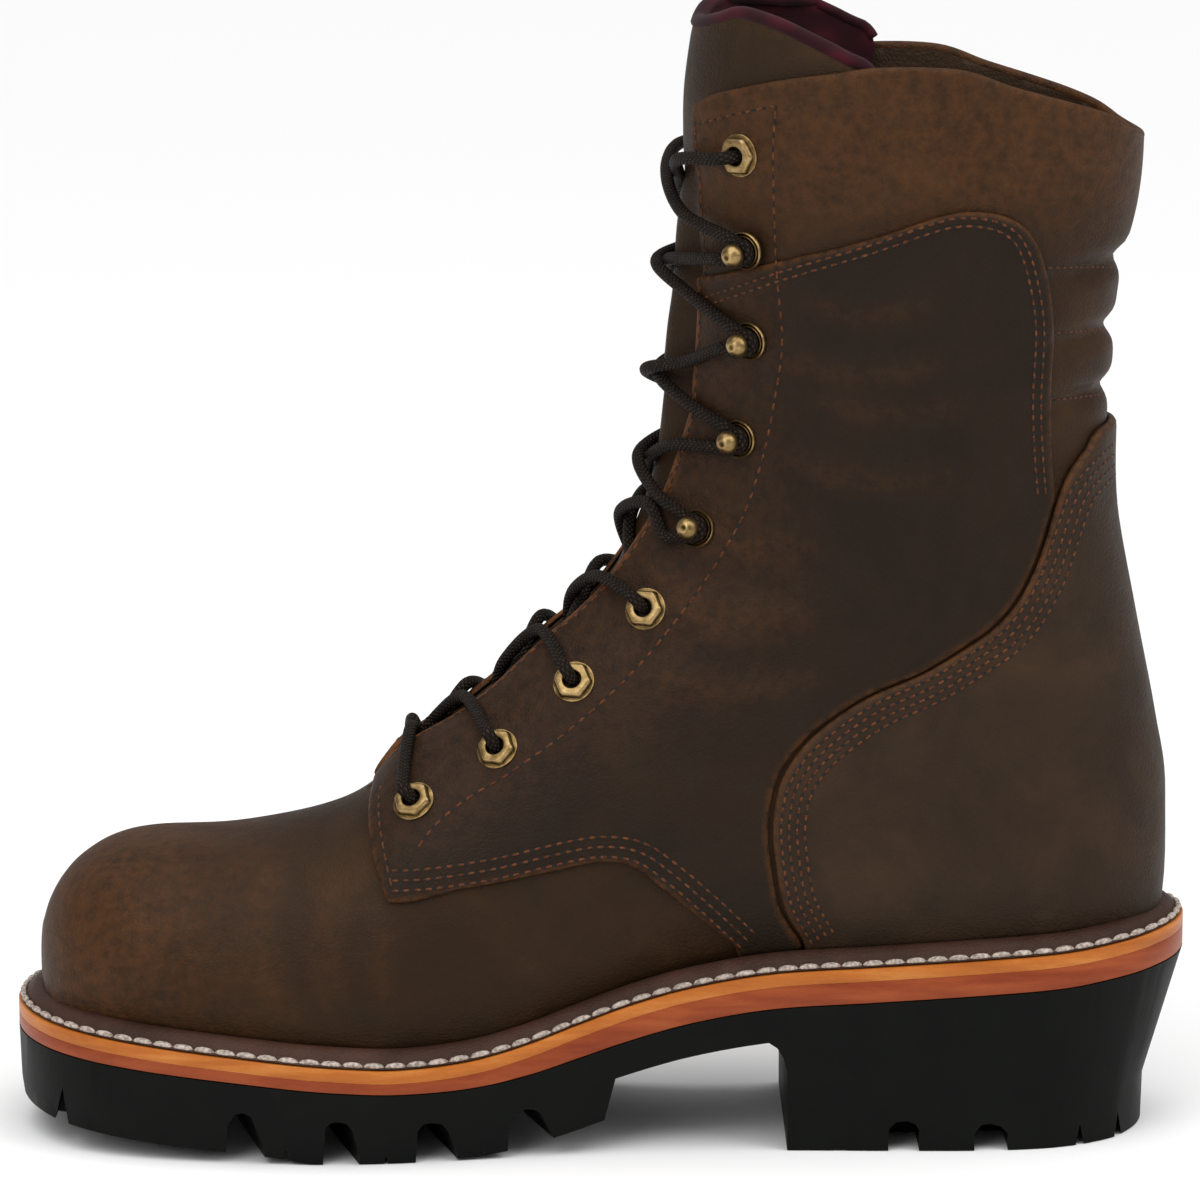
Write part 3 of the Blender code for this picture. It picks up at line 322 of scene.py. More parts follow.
TONGUE_EDGE = [
    (0.520, 2.080), (0.414, 2.086), (0.395, 2.092), (0.363, 2.061), (0.337, 2.028),
    (0.303, 1.984), (0.280, 1.942), (0.288, 1.800), (0.313, 1.500), (0.352, 1.200),
    (0.421, 0.950), (0.520, 0.750), (0.618, 0.600), (0.687, 0.480),
]
TONGUE_BULGE = [
    # section, bulge in mm
    (8, 0.0), (14, 0.0), (15, 1.5), (17, 3.8), (18, 7.5), (20, 8.6), (22, 7.0), (24, 5.2),
    (26, 2.9), (28, 0.3), (30, 0.0),
]
TONGUE_WINDOW = 14
TONGUE_INNER = np.array([4.5 * MM, 4.0 * MM])
QUILT_LEVELS = (1.262, 1.385, 1.520)
QUILT_FRONT = (0.145, 0.091)
EYELETS = [(0.656, 0.604), (0.586, 0.699), (0.522, 0.797), (0.462, 0.910), (0.386, 1.807)]
HOOKS = [(0.419, 1.059), (0.384, 1.231), (0.376, 1.431), (0.380, 1.616)]
print("eyelets and hooks of one side:", len(EYELETS) + len(HOOKS))


# %% Reading the tables along smooth curves
def curve_value(table, column, place):
    """Values of a table's column at places along its first column, on a smooth curve."""
    rows = np.array(table if table[0][0] < table[-1][0] else table[::-1], float)
    keys, values = rows[:, 0], rows[:, column]
    last = len(keys) - 1
    place = np.clip(np.asarray(place, float), keys[0], keys[-1])
    index = np.clip(np.searchsorted(keys, place, side="left") - 1, 0, last - 1)
    before = np.maximum(np.arange(last + 1) - 1, 0)
    after = np.minimum(np.arange(last + 1) + 1, last)
    slopes = (values[after] - values[before]) / (keys[after] - keys[before])
    span = keys[index + 1] - keys[index]
    t = (place - keys[index]) / span
    rise = values[index + 1] - values[index]
    start, end = slopes[index] * span, slopes[index + 1] * span
    return (values[index] + t * start + t * t * (3 * rise - 2 * start - end)
            + t ** 3 * (start + end - 2 * rise))


def station_x(station):
    """World x of a station along the sole."""
    return HEEL_SEAT - np.asarray(station, float) * SOLE_LENGTH


def x_station(x):
    """Station along the sole of a world x."""
    return (HEEL_SEAT - np.asarray(x, float)) / SOLE_LENGTH


# %% Heights and places
BALL_STACK = TREAD_DEPTH + RUBBER_BASE + LOWER_MIDSOLE + UPPER_MIDSOLE + 2 * GAP


def sole_top(x):
    """Height of the top of the upper midsole."""
    s = x_station(x)
    return (BALL_STACK + HEEL_PITCH * curve_value(PROFILE, 1, s)
            + TOE_SPRING * curve_value(PROFILE, 2, s))


def rubber_top(x):
    """Height of the rubber under both midsoles."""
    wedge = LOWER_WEDGE * curve_value(PROFILE, 3, x_station(x))
    return sole_top(x) - UPPER_MIDSOLE - LOWER_MIDSOLE - wedge - 2 * GAP


def upper_foot(x):
    """Height at which the upper stands on the welt."""
    return sole_top(x) + WELT_THICKNESS + 2 * GAP


def side_place(points):
    """Side view x and z of stations and levels, as an array."""
    points = np.asarray(points, float).reshape(-1, 2)
    x = station_x(points[:, 0])
    level = points[:, 1]
    rise = INSTEP_HEIGHT * np.minimum(level, 1) + SHAFT_HEIGHT * np.maximum(level - 1, 0)
    return np.stack([x, sole_top(x) + rise], axis=1)


# %% Smooth and even lines
def smooth_line(points, step):
    """Points resampled at an even step along a smooth curve through them."""
    points = np.asarray(points, float)
    ends = [2 * points[0] - points[1], *points, 2 * points[-1] - points[-2]]
    fine = []
    for a, b, c, d in zip(ends, ends[1:], ends[2:], ends[3:]):
        for t in np.linspace(0, 1, 12, endpoint=False):
            fine.append(0.5 * (2 * b + (c - a) * t + (2 * a - 5 * b + 4 * c - d) * t * t
                               + (3 * b - 3 * c + d - a) * t ** 3))
    fine.append(points[-1])
    return even_line(np.array(fine), step)


def even_line(points, step):
    """A polyline, with any values its points carry, resampled at an even step."""
    steps = np.linalg.norm(np.diff(points[:, :3], axis=0), axis=1)
    lengths = np.concatenate([[0], np.cumsum(steps)])
    count = max(int(round(lengths[-1] / step)), 1)
    at = np.linspace(0, lengths[-1], count + 1)
    return np.stack([np.interp(at, lengths, points[:, k]) for k in range(points.shape[1])], 1)


print("ball height", round(float(sole_top(station_x(0.7))) / MM, 1), "mm")

# %% [markdown]
# ## Surface points of the last
#
# The sections are filled in between with smooth curves, and each is drawn with a fine ring
# of points. Near the sole the ring is drawn in, because the upper turns in under its own
# edge there. The back of the collar gets its quilted rolls, and the vamp its walking creases,
# as real depth in the form.

# %% Dense form
ROWS_BETWEEN = 7
RING_COUNT = 192


def section_values(index):
    """Columns of the section table at fractional row numbers."""
    table = [(i, *row) for i, row in enumerate(SECTIONS)]
    return np.stack([curve_value(table, c, index) for c in range(1, 11)], axis=1)


def soft_least(first, second, blend):
    """The smaller of two lengths, rounded over where they are alike."""
    share = np.clip(0.5 + 0.5 * (second - first) / blend, 0, 1)
    return second + (first - second) * share - blend * share * (1 - share)


def foot_reach(x, z, outer_side):
    """How far from the middle the upper may stand over the sole, by height."""
    s = x_station(x)
    lapped = np.clip((FOOT_LAPPED - s) / FOOT_FADE, 0, 1)
    inset = RAND_INNER + FOOT_CLEAR + lapped * (COUNTER_THICKNESS + GAP)
    edge = np.where(outer_side, curve_value(OUTLINE, 1, s), curve_value(OUTLINE, 2, s))
    return edge * BALL_WIDTH - inset + FOOT_FLARE * np.maximum(z - upper_foot(x), 0)


def form_points():
    """Grid of points on the last: rows from toe to above the collar, columns round it."""
    index = np.linspace(0, len(SECTIONS) - 1, (len(SECTIONS) - 1) * ROWS_BETWEEN + 1)
    rows = section_values(index)
    front = side_place(rows[:, 0:2])
    back = side_place(rows[:, 2:4])
    middle = back + (front - back) * rows[:, 6:7]
    angle = 2 * np.pi * np.arange(RING_COUNT) / RING_COUNT
    ahead, aside = np.cos(angle), np.sin(angle)
    is_front, is_outer = ahead >= 0, aside >= 0
    power = np.where(is_front[None], 2 / rows[:, 7:8], 2 / rows[:, 8:9])
    reach = np.abs(ahead)[None] ** power
    spread = np.abs(aside)[None] ** power
    along = np.where(is_front[None, :, None], (front - middle)[:, None], (back - middle)[:, None])
    flat = middle[:, None] + along * reach[:, :, None]
    half = np.where(is_outer[None], rows[:, 4:5], rows[:, 5:6]) * BALL_WIDTH
    width = half * spread
    most = foot_reach(flat[:, :, 0], flat[:, :, 1], is_outer[None])
    drawn = np.maximum(soft_least(width, most, FOOT_BLEND), 0)
    width = np.where(np.abs(aside)[None] > 0.01, drawn, width)
    y = np.where(is_outer[None], -1, 1) * width
    return np.stack([flat[:, :, 0], y, flat[:, :, 1]], axis=2), index


# %% Normals and quilted rolls
def grid_normals(points):
    """Outward unit normals of the grid, closed round its columns."""
    along = np.gradient(points, axis=0)
    around = np.roll(points, -1, axis=1) - np.roll(points, 1, axis=1)
    normal = np.cross(along, around)
    length = np.linalg.norm(normal, axis=2, keepdims=True)
    normal = normal / np.maximum(length, 1e-12)
    centre = points.mean(axis=1, keepdims=True)
    facing = np.sum(normal * (points - centre))
    return normal if facing > 0 else -normal


def quilt_depth(points):
    """Depth of the stitched valleys between the padded rolls at the back."""
    x, z = points[..., 0], points[..., 2]
    start, full = station_x(QUILT_FRONT[0]), station_x(QUILT_FRONT[1])
    fade = np.clip((x - start) / (full - start), 0, 1)
    depth = np.zeros_like(x)
    for level in QUILT_LEVELS:
        centre = sole_top(x) + INSTEP_HEIGHT + SHAFT_HEIGHT * (level - 1)
        depth += np.exp(-((z - centre) / QUILT_SPREAD) ** 2)
    return QUILT_DEPTH * fade * depth


SMOOTH_FORM, ROW_INDEX = form_points()
SMOOTH_NORMALS = grid_normals(SMOOTH_FORM)
FORM = SMOOTH_FORM - SMOOTH_NORMALS * quilt_depth(SMOOTH_FORM)[..., None]
NORMALS = grid_normals(FORM)
print("form grid:", FORM.shape[0], "x", FORM.shape[1])

# %% [markdown]
# ## Cutting panels from the form
#
# A leather panel is a piece of the form, cut along its outline as a maker cuts it along a
# pattern. The outline is a line in the side view, so each point gets its distance to that
# line, and triangles are cut where the distance is zero. The same cut, with both sides
# kept, puts rows of points along the edge, so that the edge can be thinned and rounded.

# %% The whole form as a sheet
# Columns of a sheet's table: place, normal, row number, share ahead of the middle
PLACE, NORMAL, ROW, AHEAD = slice(0, 3), slice(3, 6), 6, 7
THROAT_ROW_STEP = 12 * MM


def base_sheet():
    """The whole form as a table of points and its triangles, closed at the toe."""
    rows, columns = FORM.shape[:2]
    ahead = np.cos(2 * np.pi * np.arange(columns) / columns)
    table = np.column_stack([FORM.reshape(-1, 3), NORMALS.reshape(-1, 3),
                             np.repeat(ROW_INDEX, columns), np.tile(ahead, rows)])
    tip_x, tip_z = side_place([TOE_TIP])[0]
    table = np.vstack([table, [tip_x, 0, tip_z, -1, 0, 0, 0, 1]])
    i = np.arange(rows - 1)[:, None] * columns
    k = np.arange(columns)[None]
    j = (k + 1) % columns
    a, b, c, d = i + k, i + columns + k, i + columns + j, i + j
    quads = np.stack([a, b, c, a, c, d], axis=-1).reshape(-1, 3)
    k, tip = np.arange(columns), rows * columns
    fan = np.stack([np.full(columns, tip), k, (k + 1) % columns], axis=1)
    return table, np.vstack([quads, fan])


# %% Cutting a sheet
def cut_sheet(table, faces, value, both=False):
    """Cut triangles where a value is zero. Keeps the positive side, or both sides."""
    side = value > 0
    count = side[faces].sum(axis=1)
    kept = [faces[count == 3]] + ([faces[count == 0]] if both else [])
    added, seen = [], {}

    def crossing(a, b):
        key = (min(a, b), max(a, b))
        if key not in seen:
            share = value[key[0]] / (value[key[0]] - value[key[1]])
            seen[key] = len(table) + len(added)
            added.append(table[key[0]] + (table[key[1]] - table[key[0]]) * share)
        return seen[key]

    mixed = {True: [], False: []}
    for tri in faces[(count == 1) | (count == 2)].tolist():
        flags = [bool(side[v]) for v in tri]
        k = flags.index(sum(flags) == 1)
        a, b, c = tri[k], tri[(k + 1) % 3], tri[(k + 2) % 3]
        ab, ac = crossing(a, b), crossing(a, c)
        mixed[flags[k]].append((a, ab, ac))
        mixed[not flags[k]] += [(ab, b, c), (ab, c, ac)]
    for flag, tris in mixed.items():
        if tris and (flag or both):
            kept.append(np.array(tris))
    if added:
        table = np.vstack([table, added])
    faces = np.vstack(kept)
    used = np.unique(faces)
    place = np.full(len(table), -1)
    place[used] = np.arange(len(used))
    return table[used], place[faces]


# %% Distances to outlines and edges
# Points measured at one time, to save memory
POINTS_AT_ONCE = 4000


def outline_distance(points, outline):
    """Distance of side view points to a closed outline, positive inside it."""
    result = np.empty(len(points))
    start, end = outline, np.roll(outline, -1, axis=0)
    along = end - start
    length = np.maximum((along ** 2).sum(axis=1), 1e-18)
    for first in range(0, len(points), POINTS_AT_ONCE):
        p = points[first:first + POINTS_AT_ONCE, None]
        t = np.clip(((p - start) * along).sum(axis=2) / length, 0, 1)
        gap = np.sqrt((((start + along * t[..., None]) - p) ** 2).sum(axis=2)).min(axis=1)
        over = (start[:, 1] > p[..., 1]) != (end[:, 1] > p[..., 1])
        rise = np.where(along[:, 1] == 0, 1e-18, along[:, 1])
        left = p[..., 0] < start[:, 0] + along[:, 0] * (p[..., 1] - start[:, 1]) / rise
        inside = (over & left).sum(axis=1) % 2 == 1
        result[first:first + POINTS_AT_ONCE] = np.where(inside, gap, -gap)
    return result


def throat_distance(table):
    """Distance to the open throat between the facings, positive on the leather."""
    rows = section_values(table[:, ROW])
    beside = np.abs(table[:, 1]) - rows[:, 9] * BALL_WIDTH
    below = (THROAT_SECTION - table[:, ROW]) * THROAT_ROW_STEP
    return np.where(table[:, AHEAD] > 0, np.maximum(beside, below), 1.0)


def side_view(table):
    """Side view x and z of a sheet's points."""
    return table[:, [0, 2]]


def open_edges(faces):
    """Directed edges that belong to one triangle only."""
    edges = np.vstack([faces[:, [0, 1]], faces[:, [1, 2]], faces[:, [2, 0]]])
    key = np.sort(edges, axis=1)
    _, place, count = np.unique(key, axis=0, return_index=True, return_counts=True)
    return edges[place[count == 1]]


# %% Making pieces
def new_piece(name, points, faces, finish, nodes=(), smooth=True):
    """A mesh object that rides on the boot and may stand for nodes of the frame."""
    mesh = bpy.data.meshes.new(name)
    mesh.from_pydata(np.asarray(points, float).tolist(), [],
                     faces.tolist() if hasattr(faces, "tolist") else faces)
    mesh.materials.append(finish)
    if smooth:
        mesh.shade_smooth()
    mesh.validate()
    piece = bpy.data.objects.new(name, mesh)
    bpy.context.scene.collection.objects.link(piece)
    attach(piece, "root")
    if nodes:
        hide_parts(*nodes)
    return piece


def point_value(piece, name, values):
    """Store one number per point, for the material to read."""
    layer = piece.data.attributes.new(name, "FLOAT", "POINT")
    layer.data.foreach_set("value", np.asarray(values, np.float32))


def panel(name, table, faces, top, bottom, finish, nodes=()):
    """A panel with a top face, an underside and an edge between them."""
    place, normal = table[:, PLACE], table[:, NORMAL]
    above = place + normal * np.asarray(top).reshape(-1, 1)
    below = place + normal * np.asarray(bottom).reshape(-1, 1)
    count = len(table)
    edge = open_edges(faces)
    rim = np.stack([edge[:, 1], edge[:, 0], edge[:, 0] + count], axis=1)
    rim_low = np.stack([edge[:, 1], edge[:, 0] + count, edge[:, 1] + count], axis=1)
    solid = np.vstack([faces, faces[:, ::-1] + count, rim, rim_low])
    made = new_piece(name, np.vstack([above, below]), solid, finish, nodes)
    print(name, len(made.data.polygons), "triangles")
    return made


def smooth_step(value, low, high):
    """0 below low, 1 above high, smooth between."""
    t = np.clip((value - low) / (high - low), 0, 1)
    return t * t * (3 - 2 * t)


# %% The sheet
SHEET, SHEET_FACES = base_sheet()
normal_check = np.cross(SHEET[SHEET_FACES[:, 1], :3] - SHEET[SHEET_FACES[:, 0], :3],
                        SHEET[SHEET_FACES[:, 2], :3] - SHEET[SHEET_FACES[:, 0], :3])
if (normal_check * SHEET[SHEET_FACES[:, 0], 3:6]).sum() < 0:
    SHEET_FACES = SHEET_FACES[:, ::-1]
print("sheet:", len(SHEET), "points,", len(SHEET_FACES), "triangles")

# %% [markdown]
# ## Outlines of the panels
#
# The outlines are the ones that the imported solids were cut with. The curved ones are drawn
# smooth through their points here.

# %% Panel outlines
EDGE_STEP = 2.5 * MM


def feather_line(lift=0.0):
    """Side view line on which the upper stands, heel to toe."""
    x = station_x(np.linspace(-0.08, 1.08, 60))
    return np.column_stack([x, upper_foot(x) + lift])


COLLAR_LINE = smooth_line(side_place(COLLAR), EDGE_STEP)
TONGUE_LINE = smooth_line(side_place(TONGUE_EDGE), EDGE_STEP)
COUNTER_LINE = smooth_line(side_place(COUNTER_FRONT), EDGE_STEP)
QUARTER_TOP_LINE = smooth_line(side_place(QUARTER_TOP), EDGE_STEP)
QUARTER_BOTTOM_LINE = smooth_line(side_place(QUARTER_BOTTOM), EDGE_STEP)
QUARTER_FRONT_LINE = smooth_line(side_place(QUARTER_FRONT), EDGE_STEP)

far_front = [[float(station_x(1.08)), 0.30], [float(station_x(0.75)), 0.30]]
UPPER_OUTLINE = np.vstack([feather_line(), far_front, COLLAR_LINE])

x_back = station_x(QUARTER_BOTTOM[-1][0])
counter_up = COUNTER_LINE[::-1] - [1.2 * MM, 0]
counter_up = counter_up[counter_up[:, 1] < QUARTER_TOP_LINE[0, 1] + 2 * MM]
foot = feather_line(GAP)[::-1]
foot = foot[(foot[:, 0] > x_back) & (foot[:, 0] < counter_up[0, 0])]
far_front = [[float(station_x(0.70)), float(QUARTER_TOP_LINE[-1, 1])]]
QUARTER_OUTLINE = np.vstack([QUARTER_FRONT_LINE, QUARTER_BOTTOM_LINE[:-1],
                             [[x_back, upper_foot(x_back) + GAP]], foot,
                             counter_up, QUARTER_TOP_LINE, far_front])

foot = feather_line(GAP)
foot = foot[foot[:, 0] > COUNTER_LINE[-1, 0]][::-1]
COUNTER_OUTLINE = np.vstack([COUNTER_LINE[:-1], [[COUNTER_LINE[-1, 0],
                             upper_foot(COUNTER_LINE[-1, 0]) + GAP]], foot])
TONGUE_OUTLINE = np.vstack([TONGUE_LINE, [[float(station_x(0.78)), TONGUE_LINE[-1, 1]],
                                          [float(station_x(0.78)), TONGUE_LINE[0, 1]]]])
print("outline points:", len(UPPER_OUTLINE), len(QUARTER_OUTLINE), len(COUNTER_OUTLINE))

# %% [markdown]
# ## Oiled leather
#
# The upper is full grain cowhide, tanned with oils and waxes. Its colour pulls up: where the
# leather is stretched over an edge or a fold it turns lighter and more orange. A painted shade
# darkens it at the bottoms of the creases, and it has a greenish grey bloom of wax. The grain is
# a network of fine pores and wrinkles about a millimetre across. The gloss is soft and uneven.

# %% Oiled leather finish
def leather(name, dark, middle, light, wear_and_light_tone, bloom="#231D14", roughness=0.50):
    """Oiled full grain cowhide: mottled tone, pores, pull-up on folds, painted shade in creases.
    """
    finish, tree, shader = new_finish(name, roughness, {"Specular IOR Level": 0.11})
    place = add(tree, "TexCoord").outputs["Object"]
    clouds = add(tree, "TexNoise", {"Scale": per_mm(38), "Detail": 6.0, "Roughness": 0.62,
                                    "Distortion": 0.6}, Vector=place)
    tone = ramp(tree, clouds.outputs["Fac"],
                [(0.25, dark), (0.50, middle), (0.75, light)])
    waxy = add(tree, "TexNoise", {"Scale": per_mm(16), "Detail": 4.0, "Roughness": 0.6},
               Vector=place)
    wax_share = add(tree, "MapRange", {"From Min": 0.50, "From Max": 0.74, "To Max": 0.45},
                    Value=waxy.outputs["Fac"])
    waxed = add(tree, "Mix", {"data_type": "RGBA"}, Factor=wax_share.outputs["Result"],
                _6=tone)
    waxed.inputs[7].default_value = linear(bloom)
    # Lighter, more orange colour where a panel asks for it: wear and pull-up, and on the quarters
    # also painted light.
    wear_and_light = add(tree, "Attribute", {"attribute_name": "wear_and_light"})
    scuff = add(tree, "TexNoise", {"Scale": per_mm(3.2), "Detail": 5.0, "Roughness": 0.7},
                Vector=place)
    wear_break = add(tree, "MapRange", {"From Min": 0.30, "From Max": 0.62},
                     Value=scuff.outputs["Fac"])
    wear_and_light_share = add(tree, "Math", {"operation": "MULTIPLY"}, _0=wear_and_light.outputs["Fac"],
               _1=wear_break.outputs["Result"])
    rubbed_and_lit = add(tree, "Mix", {"data_type": "RGBA"}, Factor=wear_and_light_share.outputs["Value"],
                 _6=waxed.outputs[2])
    rubbed_and_lit.inputs[7].default_value = linear(wear_and_light_tone)
    # Painted shade: the bottoms of the creases are darkened towards near black #17110D.
    crease_shade = add(tree, "Attribute", {"attribute_name": "crease_shade"})
    shaded = add(tree, "Mix", {"data_type": "RGBA"}, Factor=crease_shade.outputs["Fac"],
                 _6=rubbed_and_lit.outputs[2])
    shaded.inputs[7].default_value = linear("#17110D")
    tree.links.new(shaded.outputs[2], shader.inputs["Base Color"])

    pores = add(tree, "TexVoronoi", {"feature": "DISTANCE_TO_EDGE", "Scale": per_mm(1.3)},
                Vector=place)
    pore_depth = add(tree, "MapRange", {"From Max": 0.22}, Value=pores.outputs["Distance"])
    fine = add(tree, "TexNoise", {"Scale": per_mm(2.6), "Detail": 7.0, "Roughness": 0.65},
               Vector=place)
    broad = add(tree, "TexNoise", {"Scale": per_mm(11), "Detail": 3.0}, Vector=place)
    bump = add(tree, "Bump", {"Strength": 0.30, "Distance": 0.35 * MM},
               Height=pore_depth.outputs["Result"])
    bump_fine = add(tree, "Bump", {"Strength": 0.45, "Distance": 0.5 * MM},
                    Height=fine.outputs["Fac"], Normal=bump.outputs["Normal"])
    bump_broad = add(tree, "Bump", {"Strength": 0.35, "Distance": 1.6 * MM},
                     Height=broad.outputs["Fac"], Normal=bump_fine.outputs["Normal"])
    tree.links.new(bump_broad.outputs["Normal"], shader.inputs["Normal"])
    gloss = add(tree, "MapRange", {"To Min": roughness - 0.10, "To Max": roughness + 0.14},
                Value=waxy.outputs["Fac"])
    tree.links.new(gloss.outputs["Result"], shader.inputs["Roughness"])
    return finish


upper_leather = leather("oiled_cowhide_upper", "#25180C", "#2D1D0F", "#3A2613", "#6E421F")
quarter_leather = leather("oiled_cowhide_quarter", "#1A120B", "#20160D", "#281B10", "#6A4122")
counter_leather = leather("oiled_cowhide_heel_cover", "#261A11", "#2F2217", "#3C2A1B",
                          "#6A4224")
tongue_leather = leather("oiled_cowhide_tongue", "#23170C", "#2C1E10", "#372515", "#60401F")
print("leathers:", [finish.name for finish in (upper_leather, quarter_leather,
                                               counter_leather, tongue_leather)])

# %% [markdown]
# ## Walking creases
#
# A worn boot folds where the foot bends: over the ball, at the ankle and in the soft shaft.
# Each crease is a line in the side view. The form sinks along it and swells a little beside
# it, as leather does. The deepest part of a crease is also stored as a number, for a painted
# shade that darkens the leather there, and the ridges beside it get lighter with pull-up.

# %% Crease lines
# places in the side picture, depth in mm, half width in mm; each lies on both sides
CREASES = [
    ([(300, 850), (296, 900), (300, 960), (318, 1020)], 0.35, 9.0),
    ([(362, 905), (350, 950), (362, 1010)], 0.30, 8.0),
    ([(655, 555), (730, 585), (830, 590)], 0.45, 9.0),
    ([(640, 640), (730, 668), (830, 650)], 0.30, 8.0),
    ([(790, 425), (870, 447), (980, 440)], 0.40, 9.0),
    ([(785, 325), (860, 345), (950, 330)], 0.25, 8.0),
]


def picture_on_plane(u, v, y=-40 * MM):
    """World x and z where the ray of a picture place meets a plane along the boot."""
    ray = picture_ray(u, v)
    spot = CAMERA_PLACE + ray * ((y - CAMERA_PLACE.y) / ray.y)
    return spot.x, spot.z


def crease_values(points):
    """Depth of all creases at side view points, the painted shade at their bottoms, and their
    ridges.
    """
    sink = np.zeros(len(points))
    crease_shade = np.zeros(len(points))
    ridge = np.zeros(len(points))
    for line, depth, width in CREASES:
        path = smooth_line([picture_on_plane(u, v) for u, v in line], 3 * MM)
        start, end = path[:-1], path[1:]
        along = end - start
        length = (along ** 2).sum(axis=1)
        gap = np.empty(len(points))
        place = np.empty(len(points))
        for first in range(0, len(points), POINTS_AT_ONCE):
            p = points[first:first + POINTS_AT_ONCE, None]
            t = np.clip(((p - start) * along).sum(axis=2) / length, 0, 1)
            far = np.sqrt((((start + along * t[..., None]) - p) ** 2).sum(axis=2))
            best = far.argmin(axis=1)
            rows = np.arange(len(best))
            gap[first:first + POINTS_AT_ONCE] = far[rows, best]
            place[first:first + POINTS_AT_ONCE] = (best + t[rows, best]) / len(start)
        fade = smooth_step(np.minimum(place, 1 - place), -0.02, 0.22)
        share = gap / (width * MM)
        sink += depth * MM * fade * (np.exp(-share ** 2 * 4)
                                     - 0.45 * np.exp(-(share - 1) ** 2 * 5))
        # Painted shade: how strongly the leather is darkened at the bottom of each crease.
        crease_shade = np.maximum(crease_shade, 0.12 * fade * np.exp(-share ** 2 * 14))
        ridge = np.maximum(ridge, 0.10 * fade * np.exp(-(share - 1) ** 2 * 6))
    return sink, crease_shade, ridge


CREASE_SINK, PAINTED_CREASE_SHADE, CREASE_RIDGE = crease_values(side_view(SHEET))
sideways = smooth_step(np.abs(SHEET[:, 4]), 0.05, 0.45)
SHEET[:, PLACE] -= SHEET[:, NORMAL] * (CREASE_SINK * sideways)[:, None]
# The painted crease shade and the ridges become two more columns of the sheet.
SHEET = np.column_stack([SHEET, PAINTED_CREASE_SHADE * sideways, CREASE_RIDGE * sideways])
CREASE_SHADE_COLUMN, RIDGE = 8, 9
print("deepest crease", round(float(CREASE_SINK.max()) / MM, 2), "mm")

# %% [markdown]
# ## Upper, lining, quarters, heel cover and tongue
#
# The upper is one wall from toe to collar. The quarters with their facings lap over it, and
# the heel cover laps over both. Each lapped panel gets its edge thinned, as a maker skives
# it, so that it lies down on the panel below.

# %% Upper wall and lining
def skived(distance, full, width=1.6 * MM, low=0.45):
    """Lift of a panel's face: full inside, thinner and rounded at its cut edge."""
    share = np.clip(distance / width, 0, 1)
    return full * (low + (1 - low) * np.sqrt(1 - (1 - share) ** 2))


def cut_panel(table, faces, distance, rows=(0.35 * MM, 1.0 * MM, 2.2 * MM)):
    """Cut a panel where its distance is zero, with rows of points along the edge."""
    table, faces = cut_sheet(table, faces, distance(table))
    for offset in rows:
        table, faces = cut_sheet(table, faces, distance(table) - offset, both=True)
    return table, faces, np.maximum(distance(table), 0)


def two_sided(values):
    """Repeat point values for the underside of a panel."""
    return np.concatenate([values, values * 0])


def upper_distance(table):
    """Distance to the edge of the upper: its outline and the throat."""
    return np.minimum(outline_distance(side_view(table), UPPER_OUTLINE), throat_distance(table))


table, faces, distance = cut_panel(SHEET, SHEET_FACES, upper_distance, (1.0 * MM,))
upper = panel("upper_wall", table, faces, skived(distance, 0.5 * MM, 1.0 * MM, 0.2) - 0.5 * MM,
              np.full(len(table), -1.5 * MM), upper_leather, ["upper"])
warm_toe = 0.30 * smooth_step(-table[:, 0], 0.165, 0.235)
warm_collar = 0.26 * smooth_step(table[:, 2], 0.232, 0.262)
point_value(upper, "wear_and_light", two_sided(np.clip(table[:, RIDGE] + warm_toe + warm_collar, 0, 1)))
# Painted shade in the creases, for the leather to darken.
point_value(upper, "crease_shade", two_sided(table[:, CREASE_SHADE_COLUMN]))


# %% Quarters and heel cover
def quarter_distance(side_sign):
    """Distance to the edge of one quarter."""
    def distance(table):
        inside = outline_distance(side_view(table), QUARTER_OUTLINE)
        ahead = np.minimum(inside, throat_distance(table))
        return np.minimum(ahead, table[:, 1] * side_sign - 1.0 * MM)
    return distance


QUARTER_TOP_LIFT = GAP + QUARTER_THICKNESS
for name, side_sign in (("quarter_outer", -1), ("quarter_inner", 1)):
    table, faces, distance = cut_panel(SHEET, SHEET_FACES, quarter_distance(side_sign))
    made = panel(name + "_leather", table, faces, skived(distance, QUARTER_TOP_LIFT),
                 np.full(len(table), GAP), quarter_leather, [name])
    # The band along the facing and the front of the quarter are made lighter: partly wear, partly
    # painted light where they turn towards the key light.
    facing = smooth_step(-throat_distance(table), -3.0 * MM, -0.8 * MM)
    front = smooth_step(table[:, AHEAD], 0.30, 0.90)
    edge_wear_and_light = 0.55 * np.exp(-(distance / (1.0 * MM)) ** 2) + 0.55 * facing + 0.16 * front
    point_value(made, "wear_and_light", two_sided(np.clip(edge_wear_and_light + table[:, RIDGE], 0, 1)))
    point_value(made, "crease_shade", two_sided(table[:, CREASE_SHADE_COLUMN]))


def counter_distance(table):
    """Distance to the edge of the heel cover."""
    return outline_distance(side_view(table), COUNTER_OUTLINE)


COUNTER_TOP_LIFT = GAP + COUNTER_THICKNESS
table, faces, distance = cut_panel(SHEET, SHEET_FACES, counter_distance)
counter = panel("heel_cover", table, faces, skived(distance, COUNTER_TOP_LIFT),
                np.full(len(table), GAP), counter_leather, ["counter"])
point_value(counter, "wear_and_light", two_sided(0.55 * np.exp(-(distance / (1.0 * MM)) ** 2)
                                       + table[:, RIDGE]))
point_value(counter, "crease_shade", two_sided(table[:, CREASE_SHADE_COLUMN]))

# %% [markdown]
# ## Lining and tongue
#
# Inside, the shaft is lined with smooth leather, which shows at the collar. The tongue is
# leather in front and backed with a dark red knit, which shows behind its top edge. Its face
# swells forward between the facings.

